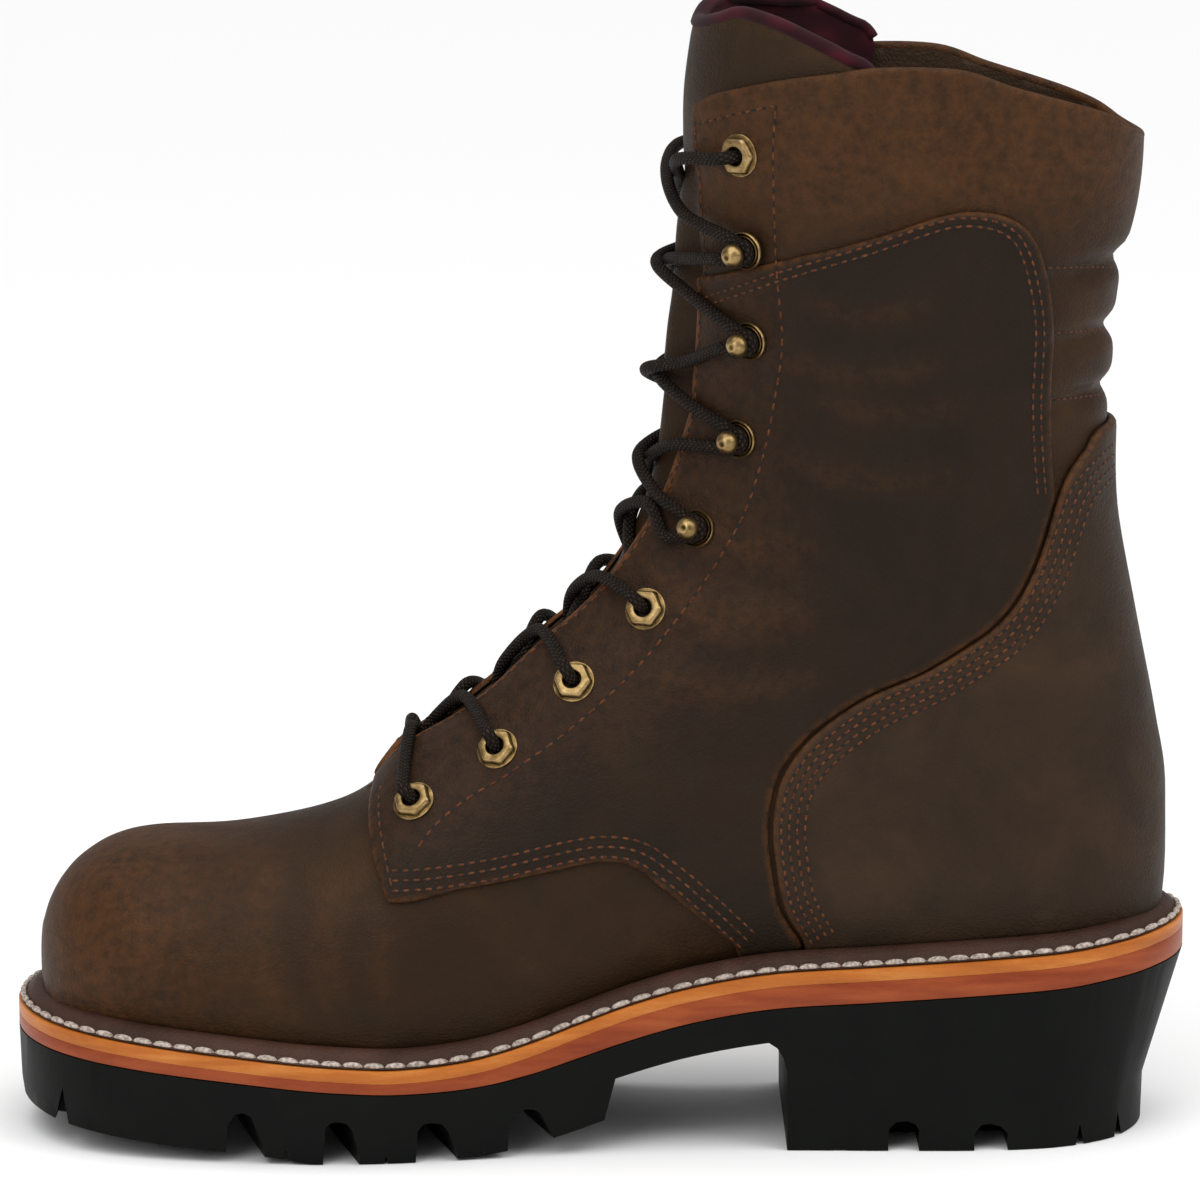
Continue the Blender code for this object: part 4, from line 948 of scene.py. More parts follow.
# %% Knitted lining
def knit(name, dark, light):
    """Knitted polyester lining: small ribs, matt, soft sheen of fibre ends, shade painted in
    grooves.
    """
    finish, tree, shader = new_finish(name, 0.95, {"Sheen Weight": 0.05,
                                                  "Sheen Roughness": 0.5,
                                                  "Specular IOR Level": 0.2})
    place = add(tree, "TexCoord").outputs["Object"]
    rib = add(tree, "TexWave", {"Scale": per_mm(2.2) / 20, "Distortion": 1.2,
                                "Detail": 2.0, "bands_direction": "X"}, Vector=place)
    loops = add(tree, "TexWave", {"Scale": per_mm(1.8) / 20, "Distortion": 1.5,
                                  "bands_direction": "Z"}, Vector=place)
    both = add(tree, "Math", {"operation": "MULTIPLY"}, _0=rib.outputs["Fac"],
               _1=loops.outputs["Fac"])
    # Painted shade: the colour follows the rib and loop relief, darker in the grooves between
    # them.
    colour = ramp(tree, both.outputs["Value"], [(0.1, dark), (0.7, light)])
    tree.links.new(colour, shader.inputs["Base Color"])
    bump = add(tree, "Bump", {"Strength": 0.7, "Distance": 0.5 * MM}, Height=both.outputs["Value"])
    tree.links.new(bump.outputs["Normal"], shader.inputs["Normal"])
    return finish


lining_knit = knit("knitted_polyester_lining", "#24040B", "#340811")
lining_leather = leather("smooth_lining_leather", "#2A1E14", "#36271B", "#443122", "#6B4426")

# %% Lining of the shaft
LINING_INSET = 0.4 * MM


def lining_distance(table):
    """Distance to the edge of the lining, a little inside the upper's edge."""
    return upper_distance(table) - LINING_INSET


table, faces, distance = cut_panel(SHEET, SHEET_FACES, lining_distance, ())
panel("shaft_lining", table, faces, np.full(len(table), -1.5 * MM),
      np.full(len(table), -WALL), lining_leather, ())


# %% Tongue
TONGUE_BACK_SHARE = 0.17
TONGUE_BACK_STEP = 40 * MM


def tongue_outline_distance(table):
    """Distance to the tongue's outline. Its inner half stands higher and reaches further back."""
    inner = smooth_step(table[:, 1], 2 * MM, 16 * MM) * smooth_step(table[:, 2], 0.250, 0.275)
    return outline_distance(side_view(table) - inner[:, None] * TONGUE_INNER, TONGUE_OUTLINE)


def tongue_front_distance(table):
    """Distance to where the tongue ends towards the back, inside the shaft."""
    return (table[:, AHEAD] + TONGUE_BACK_SHARE) * TONGUE_BACK_STEP


def tongue_distance(table):
    """Distance to the edge of the tongue, kept to the front of the boot."""
    inside = tongue_outline_distance(table)
    front = tongue_front_distance(table)
    low = (table[:, ROW] - (THROAT_SECTION - 0.7)) * THROAT_ROW_STEP
    return np.minimum(np.minimum(inside, front), low)


def tongue_lift(table):
    """How far the tongue's face stands from the last, with its swell in the throat."""
    turn = np.degrees(np.arccos(np.clip(table[:, AHEAD], -1, 1)))
    window = np.clip(1 - (turn / TONGUE_WINDOW) ** 2, 0, 1) ** 2
    return -(WALL + GAP) + curve_value(TONGUE_BULGE, 1, table[:, ROW]) * MM * window


table, faces, distance = cut_panel(SHEET, SHEET_FACES, tongue_distance, (1.2 * MM,))
lift = tongue_lift(table)
tongue = panel("tongue_leather", table, faces, lift - 0.6 * MM * np.exp(-(distance / MM) ** 2),
               lift - 1.5 * MM, tongue_leather, ["tongue"])
point_value(tongue, "wear_and_light", two_sided(0.5 * np.exp(-(distance / (1.5 * MM)) ** 2)))
point_value(tongue, "crease_shade", two_sided(table[:, CREASE_SHADE_COLUMN]))
table, faces, distance = cut_panel(SHEET, SHEET_FACES, tongue_distance, ())
lift = tongue_lift(table)
panel("tongue_lining", table, faces, lift - 1.5 * MM, lift - 3.0 * MM, lining_knit, ())

# %% [markdown]
# ## Round and flat strips swept along a path
#
# Bindings, cords and stitches are all a small outline moved along a line. One function
# carries the outline along, turning it as little as it can, so that nothing twists.

# %% Sweeping
def path_frames(path, up):
    """Direction, side and up at each point of a path, with up kept near a given one."""
    path = np.asarray(path, float)
    along = np.gradient(path, axis=0)
    along /= np.linalg.norm(along, axis=1, keepdims=True)
    up = np.broadcast_to(np.asarray(up, float), path.shape)
    side = np.cross(along, up)
    side /= np.linalg.norm(side, axis=1, keepdims=True)
    return along, side, np.cross(side, along)


def carried_up(path):
    """An up direction carried along a free path with the least turning."""
    path = np.asarray(path, float)
    along = np.gradient(path, axis=0)
    along /= np.linalg.norm(along, axis=1, keepdims=True)
    first = np.cross(along[0], [0.3, 0.2, 1.0])
    ups = [first / np.linalg.norm(first)]
    for direction in along[1:]:
        up = ups[-1] - direction * ups[-1].dot(direction)
        ups.append(up / np.linalg.norm(up))
    return np.array(ups)


def swept(path, up, outline, closed=False):
    """Points and faces of an outline (side, up) moved along a path."""
    along, side, over = path_frames(path, up)
    outline = np.asarray(outline, float)
    rings = (np.asarray(path)[:, None] + side[:, None] * outline[None, :, :1]
             + over[:, None] * outline[None, :, 1:2])
    count, ring = rings.shape[:2]
    faces = []
    steps = count if closed else count - 1
    for i in range(steps):
        n = (i + 1) % count
        for k in range(ring):
            j = (k + 1) % ring
            faces.append((i * ring + k, i * ring + j, n * ring + j, n * ring + k))
    if not closed:
        faces.append(tuple(range(ring))[::-1])
        faces.append(tuple((count - 1) * ring + k for k in range(ring)))
    return rings.reshape(-1, 3), faces


# %% Swept pieces
def ellipse(half_side, half_up, count=12):
    """Outline of an ellipse."""
    angle = 2 * np.pi * np.arange(count) / count
    return np.column_stack([half_side * np.cos(angle), half_up * np.sin(angle)])


def swept_piece(name, paths, outline, finish, nodes=(), closed=False):
    """One mesh from several swept paths, with the way round and along as UV, in mm."""
    points, faces, uv = [], [], []
    first = 0
    for path, up in paths:
        made, quads = swept(path, up, outline, closed)
        ring = len(outline)
        far = np.concatenate([[0], np.cumsum(np.linalg.norm(np.diff(path, axis=0), axis=1))])
        for quad in quads:
            faces.append(tuple(v + first for v in quad))
            for v in quad:
                turn = v % ring
                if turn == 0 and any(w % ring == ring - 1 for w in quad) and len(quad) == 4:
                    turn = ring
                uv.append((turn / ring, far[v // ring] / MM))
        points.append(made)
        first += len(made)
    piece = new_piece(name, np.vstack(points), faces, finish, nodes)
    layer = piece.data.uv_layers.new(name="around_along")
    layer.data.foreach_set("uv", np.array(uv, np.float32).ravel())
    print(name, len(piece.data.polygons), "faces")
    return piece


# %% [markdown]
# ## Rolled collar edge and tongue binding
#
# The leather of the collar is turned over a padded edge and sewn down, so the rim is a soft
# roll, rubbed lighter. The tongue has a ribbed textile binding round its top.

# %% Edges on the form
def form_tree(lift):
    """Search tree of the form's face at a lift."""
    points = SHEET[:, PLACE] + SHEET[:, NORMAL] * lift
    return BVHTree.FromPolygons(points.tolist(), SHEET_FACES.tolist())


UPPER_FACE = form_tree(0.0)
QUARTER_FACE = form_tree(QUARTER_TOP_LIFT)
COUNTER_FACE = form_tree(COUNTER_TOP_LIFT)


def border_path(distance, lift, keep):
    """Where a distance crosses zero along each column of the form, round the boot."""
    rows, columns = FORM.shape[:2]
    value = distance(SHEET[:rows * columns]).reshape(rows, columns)
    table = SHEET[:rows * columns].reshape(rows, columns, -1)
    path, normal = [], []
    for k in range(columns):
        inside = np.nonzero(value[:, k] > 0)[0]
        if not len(inside) or inside[-1] == rows - 1:
            continue
        i = inside[-1]
        t = value[i, k] / (value[i, k] - value[i + 1, k])
        row = table[i, k] + (table[i + 1, k] - table[i, k]) * t
        if keep(row[None])[0] > 0:
            path.append(row[PLACE] + row[NORMAL] * lift)
            normal.append(row[NORMAL])
    return np.array(path), np.array(normal)


def throat_edge(row, side_sign, lift, inset=0.0):
    """Point and normal at the throat's edge, or behind it, at a row of the form."""
    i = int(round(float(row) * ROWS_BETWEEN))
    half = section_values(np.array([row]))[0, 9] * BALL_WIDTH
    columns = np.arange(0, 60)
    if side_sign > 0:
        columns = (-columns) % RING_COUNT
    line = FORM[i, columns]
    lengths = np.concatenate([[0], np.cumsum(np.linalg.norm(np.diff(line, axis=0), axis=1))])
    at = np.interp(half, np.abs(line[:, 1]), lengths) + inset
    spot = np.array([np.interp(at, lengths, line[:, k]) for k in range(3)])
    normal = np.array([np.interp(at, lengths, NORMALS[i, columns, k]) for k in range(3)])
    return spot + normal * lift, normal


# %% Collar roll
def collar_only(table):
    """Distance to the upper's outline alone, as if the throat were closed."""
    return outline_distance(side_view(table), UPPER_OUTLINE)


rim, _ = border_path(collar_only, -WALL / 2, throat_distance)
rim = even_line(smooth_line(rim, 2 * MM), 2.0 * MM)
rim_up = np.stack([np.zeros(len(rim)), np.zeros(len(rim)), np.ones(len(rim))], axis=1)
roll = ellipse(1.3 * MM, 1.5 * MM, 14)
collar_roll = swept_piece("collar_roll", [(rim - [0, 0, 0.8 * MM], rim_up)], roll, upper_leather,
                          ())
point_value(collar_roll, "wear_and_light", np.full(len(collar_roll.data.vertices), 0.34))
print("collar rim", round(np.linalg.norm(np.diff(rim, axis=0), axis=1).sum() / MM), "mm long")


# %% Tongue binding
BINDING_FOOT = 0.262


def tongue_top_only(table):
    """Distance to the tongue's upper edge."""
    return np.minimum(tongue_outline_distance(table), tongue_front_distance(table))


def above_collar(table):
    """Height over the place where the binding starts, near the collar."""
    return table[:, 2] - BINDING_FOOT


top, _ = border_path(tongue_top_only, -4.2 * MM, above_collar)
order = np.concatenate([np.nonzero(top[:, 1] > 0)[0], np.nonzero(top[:, 1] <= 0)[0]])
top = even_line(smooth_line(top[order], 2 * MM), 1.5 * MM)
binding_knit = knit("ribbed_textile_binding", "#24040B", "#380A14")
swept_piece("tongue_binding", [(top, carried_up(top))], ellipse(1.7 * MM, 2.2 * MM, 14),
            binding_knit, ())

# %% [markdown]
# ## Seams
#
# All seams are lockstitch rows in waxed polyester thread. On the leather such a row is a
# chain of short beads of thread, each sunk at both ends into a needle hole, whose shade is
# painted as a flat dark disc. The rows were followed in the picture and are laid onto the
# panel that they are sewn through, then repeated on the inner side. Each row is cut into real
# stitch lengths.

# %% Stitch rows
# panel face, stitch pitch in mm, places in the side picture
FRONT_FOOT = [(379, 792), (379, 820), (386, 862), (392, 888)]
REAR_ROW = [(776, 108), (773, 153), (775, 240), (778, 289), (782, 330), (781, 361), (776, 391),
            (770, 426), (761, 464), (747, 507), (733, 535), (712, 570), (690, 602), (670, 628),
            (644, 660), (603, 701), (563, 735), (551, 744), (502, 778), (479, 791), (458, 805),
            (433, 827), (417, 849)]
BOTTOM_ROW = [(390, 891), (430, 889), (496, 879), (560, 864), (600, 857), (635, 861), (664, 880),
              (702, 912), (742, 949)]
TOP_ROW = [(704, 298), (778, 273), (869, 246), (944, 221), (981, 219), (1007, 226), (1024, 242),
           (1035, 271), (1044, 326), (1041, 402), (1043, 459), (1046, 496)]
COUNTER_ROW = [(1112, 445), (1094, 462), (1073, 487), (1061, 517), (1051, 548), (1040, 578),
               (1024, 607), (1004, 631), (980, 648), (929, 680), (872, 706), (819, 745),
               (791, 781), (782, 816), (782, 849), (791, 904), (813, 946)]
COLLAR_ROW = [(700, 124), (737, 114), (776, 106)]
FACING_INSET = 2.6 * MM
QUILT_ROWS = [[(1046, 268), (1080, 267), (1112, 267)], [(1055, 333), (1080, 331), (1104, 328)],
              [(1055, 400), (1080, 397), (1104, 394)]]


def beside(line, offset):
    """A picture line moved sideways by an offset in pixels, to its right-hand side."""
    line = smooth_line(line, 6.0)
    along = np.gradient(line, axis=0)
    along /= np.linalg.norm(along, axis=1, keepdims=True)
    return line + np.column_stack([-along[:, 1], along[:, 0]]) * offset


SEAMS = [(QUARTER_FACE, 3.6, beside(REAR_ROW, 0)), (UPPER_FACE, 3.2, beside(COLLAR_ROW, 0))]
SEAMS += [(QUARTER_FACE, 2.9, beside(BOTTOM_ROW, -offset)) for offset in (0, 10, 20)]
SEAMS += [(QUARTER_FACE, 2.8, beside(TOP_ROW, offset)) for offset in (0, 8)]
SEAMS += [(COUNTER_FACE, 2.8, beside(COUNTER_ROW, -offset)) for offset in (0, 8, 16, 24)]
SEAMS += [(UPPER_FACE, 2.6, beside(row, 0)) for row in QUILT_ROWS]
print("seam rows of one side:", len(SEAMS) + 1)


# %% Rows laid on the panels
# How far from the middle a ray towards the boot starts
BESIDE_BOOT = 0.12


def upper_or_quarter(x, z):
    """Face that a seam is sewn through where the quarter has ended: the collar's."""
    inside = outline_distance(np.array([[x, z]]), QUARTER_OUTLINE)[0] > 0
    return QUARTER_FACE if inside else UPPER_FACE


def seam_on_face(tree, line, side_sign):
    """Points and normals of a picture line on a face, seen from the outer or inner side."""
    spots, normals = [], []
    for u, v in line:
        hit, normal, _, _ = tree.ray_cast(CAMERA_PLACE, picture_ray(u, v))
        if hit is None:
            continue
        if tree is QUARTER_FACE and upper_or_quarter(hit.x, hit.z) is UPPER_FACE:
            hit, normal, _, _ = UPPER_FACE.ray_cast(CAMERA_PLACE, picture_ray(u, v))
            if hit is None:
                continue
        if side_sign > 0:
            start = Vector((hit.x, BESIDE_BOOT, hit.z))
            layer = tree if tree is not QUARTER_FACE else upper_or_quarter(hit.x, hit.z)
            hit, normal, _, _ = layer.ray_cast(start, Vector((0, -1, 0)))
            if hit is None or hit.y < 0:
                continue
        normal = np.array(normal)
        if normal[1] * side_sign < 0:
            normal = -normal
        spots.append(np.array(hit))
        normals.append(normal)
    return np.array(spots), np.array(normals)


def facing_row(side_sign):
    """Row that follows the facing's front edge from the collar down to its foot."""
    spots, normals = [], []
    last = (len(SECTIONS) - 1) * ROWS_BETWEEN
    first = int((THROAT_SECTION + 0.8) * ROWS_BETWEEN)
    for k in range(last, first, -1):
        spot, normal = throat_edge(k / ROWS_BETWEEN, side_sign, 0.0, FACING_INSET)
        if outline_distance(np.array([[spot[0], spot[2]]]), UPPER_OUTLINE)[0] < 3 * MM:
            continue
        lapped = upper_or_quarter(spot[0], spot[2]) is QUARTER_FACE
        spots.append(spot + normal * (QUARTER_TOP_LIFT if lapped else 0.0))
        normals.append(normal)
    foot, foot_normals = seam_on_face(QUARTER_FACE, beside(FRONT_FOOT, 0), side_sign)
    return np.vstack([spots, foot]), np.vstack([normals, foot_normals])


# %% Beads of thread and needle holes
HOLE_SIDES = 8
HOLE_LONG, HOLE_WIDE, HOLE_LIFT = 0.80 * MM, 0.36 * MM, 0.06 * MM


def stitches(rows, length_share, half_width, half_height, sink, ring=6):
    """Beads of thread along rows of points, as one mesh's points and faces, and its hole shade."""
    beads, bead_faces, holes, hole_faces = [], [], [], []
    spread = np.array([-1.0, -0.72, -0.25, 0.25, 0.72, 1.0])
    swell = np.array([0.25, 0.78, 1.0, 1.0, 0.78, 0.25])
    angle = 2 * np.pi * np.arange(ring) / ring
    for spots, normals, pitch in rows:
        if len(spots) < 2:
            continue
        both = even_line(np.column_stack([spots, normals]), pitch * MM)
        for a, b in zip(both, both[1:]):
            along = b[:3] - a[:3]
            length = np.linalg.norm(along)
            along = along / length
            up = a[3:] + b[3:]
            up -= along * up.dot(along)
            up /= np.linalg.norm(up)
            side = np.cross(along, up)
            middle = (a[:3] + b[:3]) / 2 - up * sink
            half = length * length_share / 2
            first = len(beads)
            for share, fat in zip(spread, swell):
                drop = up * half_height * 0.8 * share ** 4
                for turn in angle:
                    beads.append(middle + along * half * share - drop
                                 + side * half_width * fat * math.cos(turn)
                                 + up * half_height * fat * math.sin(turn))
            for i in range(len(spread) - 1):
                for k in range(ring):
                    j = (k + 1) % ring
                    q = first + i * ring
                    bead_faces.append((q + k, q + ring + k, q + ring + j, q + j))
            bead_faces.append(tuple(first + k for k in range(ring)))
            bead_faces.append(tuple(first + (len(spread) - 1) * ring + k
                                    for k in range(ring))[::-1])
            # Painted shade: a flat dark disc at each needle hole, just above the leather.
            first = len(holes)
            centre = a[:3] + up * HOLE_LIFT
            for k in range(HOLE_SIDES):
                turn = 2 * math.pi * k / HOLE_SIDES
                holes.append(centre + along * HOLE_LONG * math.cos(turn)
                             + side * HOLE_WIDE * math.sin(turn))
            hole_faces.append(tuple(range(first, first + HOLE_SIDES)))
    return beads, bead_faces, holes, hole_faces


# %% Thread and needle holes
def thread(name, dark, light):
    """Waxed polyester thread: twisted strands, a little gloss."""
    finish, tree, shader = new_finish(name, 0.6, {"Specular IOR Level": 0.15})
    place = add(tree, "TexCoord").outputs["Object"]
    twist = add(tree, "TexNoise", {"Scale": per_mm(0.9), "Detail": 2.0}, Vector=place)
    colour = ramp(tree, twist.outputs["Fac"], [(0.35, dark), (0.65, light)])
    tree.links.new(colour, shader.inputs["Base Color"])
    bump = add(tree, "Bump", {"Strength": 0.5, "Distance": 0.2 * MM},
               Height=twist.outputs["Fac"])
    tree.links.new(bump.outputs["Normal"], shader.inputs["Normal"])
    return finish


brown_thread = thread("waxed_polyester_thread_brown", "#3E2010", "#653C22")
white_thread = thread("waxed_polyester_thread_natural", "#7C7068", "#BDB0A4")
# Painted shade: near-black discs stand for the shade inside the needle holes.
needle_hole_shade, hole_tree, hole_shader = new_finish("painted_needle_hole_shade", 0.95)
hole_shade_mottle = add(hole_tree, "TexNoise", {"Scale": per_mm(1.0)})
hole_colour = ramp(hole_tree, hole_shade_mottle.outputs["Fac"], [(0.4, "#0A0705"), (0.6, "#140D09")])
hole_tree.links.new(hole_colour, hole_shader.inputs["Base Color"])

rows = [(*facing_row(side_sign), 3.6) for side_sign in (-1, 1)]
for tree_face, pitch, line in SEAMS:
    for side_sign in (-1, 1):
        spots, normals = seam_on_face(tree_face, line, side_sign)
        rows.append((spots, normals, pitch))
beads, bead_faces, holes, hole_faces = stitches(rows, 0.72, 0.36 * MM, 0.30 * MM, 0.0)
new_piece("seam_stitches", beads, bead_faces, brown_thread, ())
new_piece("seam_needle_hole_shade", holes, hole_faces, needle_hole_shade, ())
print("stitches:", len(bead_faces) // 32, "points:", len(beads))

# %% [markdown]
# ## Sole: rubber, two midsoles and welt
#
# The layers share one outline in plan. It is drawn as a closed smooth curve through the
# table's points. Each layer is a ring of outlines at its own insets and heights, so its edge
# can have the small bevels that a trimming knife and a mould leave.

# %% Sole outline
HALF_LOOP = 130


def sole_loop():
    """Closed outline: x, y, knee and foot tuck, from the heel's middle by the outer side."""
    rows = np.array(OUTLINE)
    x = station_x(rows[:, 0])
    outer = np.column_stack([x, -rows[:, 1] * BALL_WIDTH, rows[:, 3], rows[:, 4]])
    inner = np.column_stack([x, rows[:, 2] * BALL_WIDTH, rows[:, 3], rows[:, 4]])
    loop = np.vstack([outer, inner[::-1]])
    loop = np.vstack([loop[-3:], loop, loop[:3]])
    far = np.concatenate([[0], np.cumsum(np.linalg.norm(np.diff(loop[:, :2], axis=0), axis=1))])
    heel, toe, end = (far[2] + far[3]) / 2, (far[23] + far[24]) / 2, (far[44] + far[45]) / 2
    at = np.concatenate([np.linspace(heel, toe, HALF_LOOP, endpoint=False),
                         np.linspace(toe, end, HALF_LOOP, endpoint=False)])
    table = np.column_stack([far, loop])
    return np.column_stack([curve_value(table.tolist(), c, at) for c in range(1, 5)])


LOOP = sole_loop()
ahead_loop = np.roll(LOOP[:, :2], -1, axis=0) - np.roll(LOOP[:, :2], 1, axis=0)
LOOP_INWARD = np.column_stack([ahead_loop[:, 1], -ahead_loop[:, 0]])
LOOP_INWARD /= np.linalg.norm(LOOP_INWARD, axis=1, keepdims=True)
if (LOOP_INWARD * (LOOP[:, :2].mean(axis=0) - LOOP[:, :2])).sum() < 0:
    LOOP_INWARD = -LOOP_INWARD


def loop_at(inset, height, tuck=None):
    """The outline moved in, at its height. tuck: column with an extra inset."""
    depth = inset + (LOOP[:, tuck] * SOLE_TUCK if tuck else 0)
    flat = LOOP[:, :2] + LOOP_INWARD * np.reshape(depth, (-1, 1))
    return np.column_stack([flat, height(flat[:, 0])])


def ring_faces(rings, closed):
    """Quads between outlines, closed into a tube or capped across."""
    count, steps = len(LOOP), rings if closed else rings - 1
    faces = [(k * count + i, k * count + (i + 1) % count,
              (k + 1) % rings * count + (i + 1) % count, (k + 1) % rings * count + i)
             for k in range(steps) for i in range(count)]
    if not closed:
        for base in (0, (rings - 1) * count):
            faces.append((base, base + 1, base + count - 1))
            middle = count // 2
            faces.append((base + middle, base + middle + 1, base + middle - 1))
            for i in range(1, middle - 1):
                faces.append((base + i, base + i + 1, base + count - i - 1, base + count - i))
    return faces


def layered(name, profile, finish, nodes, closed=False):
    """A sole layer from its profile of insets and height functions."""
    rings = [loop_at(inset * MM, height) for inset, height in profile]
    shape = bmesh.new()
    verts = [shape.verts.new(p) for p in np.vstack(rings)]
    for face in ring_faces(len(rings), closed):
        shape.faces.new([verts[v] for v in face])
    bmesh.ops.recalc_face_normals(shape, faces=shape.faces)
    made = new_piece(name, [v.co[:] for v in shape.verts],
                     [tuple(v.index for v in f.verts) for f in indexed(shape).faces],
                     finish, nodes)
    shape.free()
    made.data.set_sharp_from_angle(angle=math.radians(50))
    print(name, len(made.data.polygons), "faces")
    return made


def indexed(shape):
    """A bmesh with its point numbers brought up to date."""
    shape.verts.index_update()
    return shape


# %% Midsoles
def cut_leather_edge(name, dark, middle, light):
    """Vegetable tanned sole leather, cut, sanded and waxed: fine layers along the edge."""
    finish, tree, shader = new_finish(name, 0.42, {"Coat Weight": 0.05, "Coat Roughness": 0.3,
                                                  "Specular IOR Level": 0.2})
    place = add(tree, "TexCoord").outputs["Object"]
    stretched = add(tree, "Mapping", {"Scale": (1.0, 1.0, 7.0)}, Vector=place)
    layers = add(tree, "TexNoise", {"Scale": per_mm(22), "Detail": 4.0, "Roughness": 0.5},
                 Vector=stretched.outputs["Vector"])
    fibre = add(tree, "TexNoise", {"Scale": per_mm(1.6), "Detail": 5.0, "Roughness": 0.7},
                Vector=stretched.outputs["Vector"])
    both = add(tree, "Math", {"operation": "MULTIPLY_ADD", 1: 0.35}, _0=fibre.outputs["Fac"],
               _2=layers.outputs["Fac"])
    colour = ramp(tree, both.outputs["Value"], [(0.42, dark), (0.68, middle), (0.95, light)])
    tree.links.new(colour, shader.inputs["Base Color"])
    bump = add(tree, "Bump", {"Strength": 0.35, "Distance": 0.3 * MM},
               Height=both.outputs["Value"])
    tree.links.new(bump.outputs["Normal"], shader.inputs["Normal"])
    return finish


def above_sole(lift):
    """Height function: a lift in mm over the top of the sole."""
    return lambda x: sole_top(x) + lift * MM


def above_rubber(lift):
    """Height function: a lift in mm over the top of the rubber."""
    return lambda x: rubber_top(x) + lift * MM


light_sole_leather = cut_leather_edge("sole_leather_waxed_light", "#96501A", "#AE6222", "#C27E3C")
red_sole_leather = cut_leather_edge("sole_leather_waxed_red", "#742C10", "#873B18", "#984A22")
down = UPPER_MIDSOLE / MM
layered("midsole_upper_leather",
        [(0.5, above_sole(0)), (0.12, above_sole(-0.1)), (0, above_sole(-0.4)),
         (0, above_sole(0.12 - down)), (0.05, above_sole(0.02 - down)), (0.4, above_sole(-down))],
        light_sole_leather, ["midsole_upper"])
layered("midsole_lower_leather",
        [(0.4, above_sole(-down - 0.02)), (0.07, above_sole(-down - 0.03)),
         (0.02, above_sole(-down - 0.15)), (0.02, above_rubber(0.6)), (0.12, above_rubber(0.3)),
         (0.4, above_rubber(0.2))],
        red_sole_leather, ["midsole_lower"])

# %% [markdown]
# ## Welt
#
# The welt is a strip of leather that is sewn to the upper inside and to the midsole outside.
# Its inner side rises to a rounded rand against the upper. A thick natural lockstitch runs
# all round close to its outer edge, half sunk in a groove.

# %% Welt strip and its lockstitch
welt_leather = leather("waxed_welt_leather", "#2A1A14", "#3C2820", "#4E342A", "#6E4A3A",
                       bloom="#3E2E26", roughness=0.42)
welt = layered("welt_strip",
               [(0.9, above_sole(0.3)), (0.62, above_sole(0.4)), (0.55, above_sole(0.65)),
                (0.75, above_sole(0.85)), (1.6, above_sole(0.95)), (2.0, above_sole(1.3)),
                (2.5, above_sole(2.1)), (3.1, above_sole(2.9)), (4.0, above_sole(3.7)),
                (5.0, above_sole(4.3)), (6.2, above_sole(4.6)), (7.2, above_sole(4.4)),
                (8.0, above_sole(3.4)), (9.0, above_sole(2.6)), (13.0, above_sole(2.5)),
                (13.0, above_sole(0.3))],
               welt_leather, ["welt"], closed=True)
welt.data.shade_smooth()
WELT_PITCH = 5.65
lock = loop_at(1.15 * MM, above_sole(1.35))
lock = np.vstack([lock, lock[:1]])
lock_up = np.tile([0.0, 0.0, 1.0], (len(lock), 1))
outward = np.vstack([LOOP_INWARD, LOOP_INWARD[:1]])
lock_up[:, :2] -= outward * 0.45
beads, bead_faces, holes, hole_faces = stitches([(lock, lock_up, WELT_PITCH)], 0.97, 0.85 * MM,
                                                0.66 * MM, 0.0, ring=10)
new_piece("welt_lockstitch", beads, bead_faces, white_thread, ())
print("welt stitches:", len(hole_faces))

# %% [markdown]
# ## Lugged rubber sole with heel
#
# Sole and heel are one compression moulded rubber unit. The solid is a tapered slab, cut to
# its side outline, and the channels between the lugs are cut away from it obliquely. The
# notches are those of the picture, put onto the near wall of the rubber.

# %% Side outline of the rubber
UNDERSIDE = [
    # station, spring, pitch
    (1.042, 1.25, 0.000), (0.993, 1.06, 0.000), (0.949, 0.83, 0.000), (0.860, 0.50, 0.000),
    (0.773, 0.20, 0.000), (0.737, 0.00, 0.000), (0.637, 0.00, 0.000), (0.611, 0.00, 0.030),
    (0.573, 0.00, 0.085), (0.527, 0.00, 0.235), (0.487, 0.00, 0.400),
]
WAIST_FRONT, WAIST_BACK, HEEL_BREAST = 0.487, 0.360, 0.342


def rubber_side():
    """Side outline of the rubber: top line, heel, breast, waist and forefoot."""
    top = station_x(np.linspace(1.05, -0.05, 90))
    points = np.column_stack([top, rubber_top(top)]).tolist()
    breast = float(station_x(HEEL_BREAST))
    arch = float(rubber_top(breast)) - WAIST_RUBBER
    radius = abs(float(station_x(WAIST_BACK)) - breast)
    points += [(float(station_x(-0.05)), 0.0), (breast, 0.0), (breast, arch - 2.2 * radius),
               (breast - 0.05 * radius, arch - 1.5 * radius),
               (breast - 0.2 * radius, arch - 0.85 * radius),
               (breast - 0.5 * radius, arch - 0.35 * radius),
               (breast - 0.9 * radius, arch - 0.08 * radius)]
    waist = station_x(np.linspace(WAIST_BACK + 0.004, WAIST_FRONT, 12))
    points += np.column_stack([waist, rubber_top(waist) - WAIST_RUBBER]).tolist()
    stations = np.linspace(WAIST_FRONT, UNDERSIDE[0][0], 60)[1:]
    low = (curve_value(UNDERSIDE, 1, stations) * TOE_SPRING
           + curve_value(UNDERSIDE, 2, stations) * HEEL_PITCH)
    points += np.column_stack([station_x(stations), np.maximum(low, 0)]).tolist()
    return points


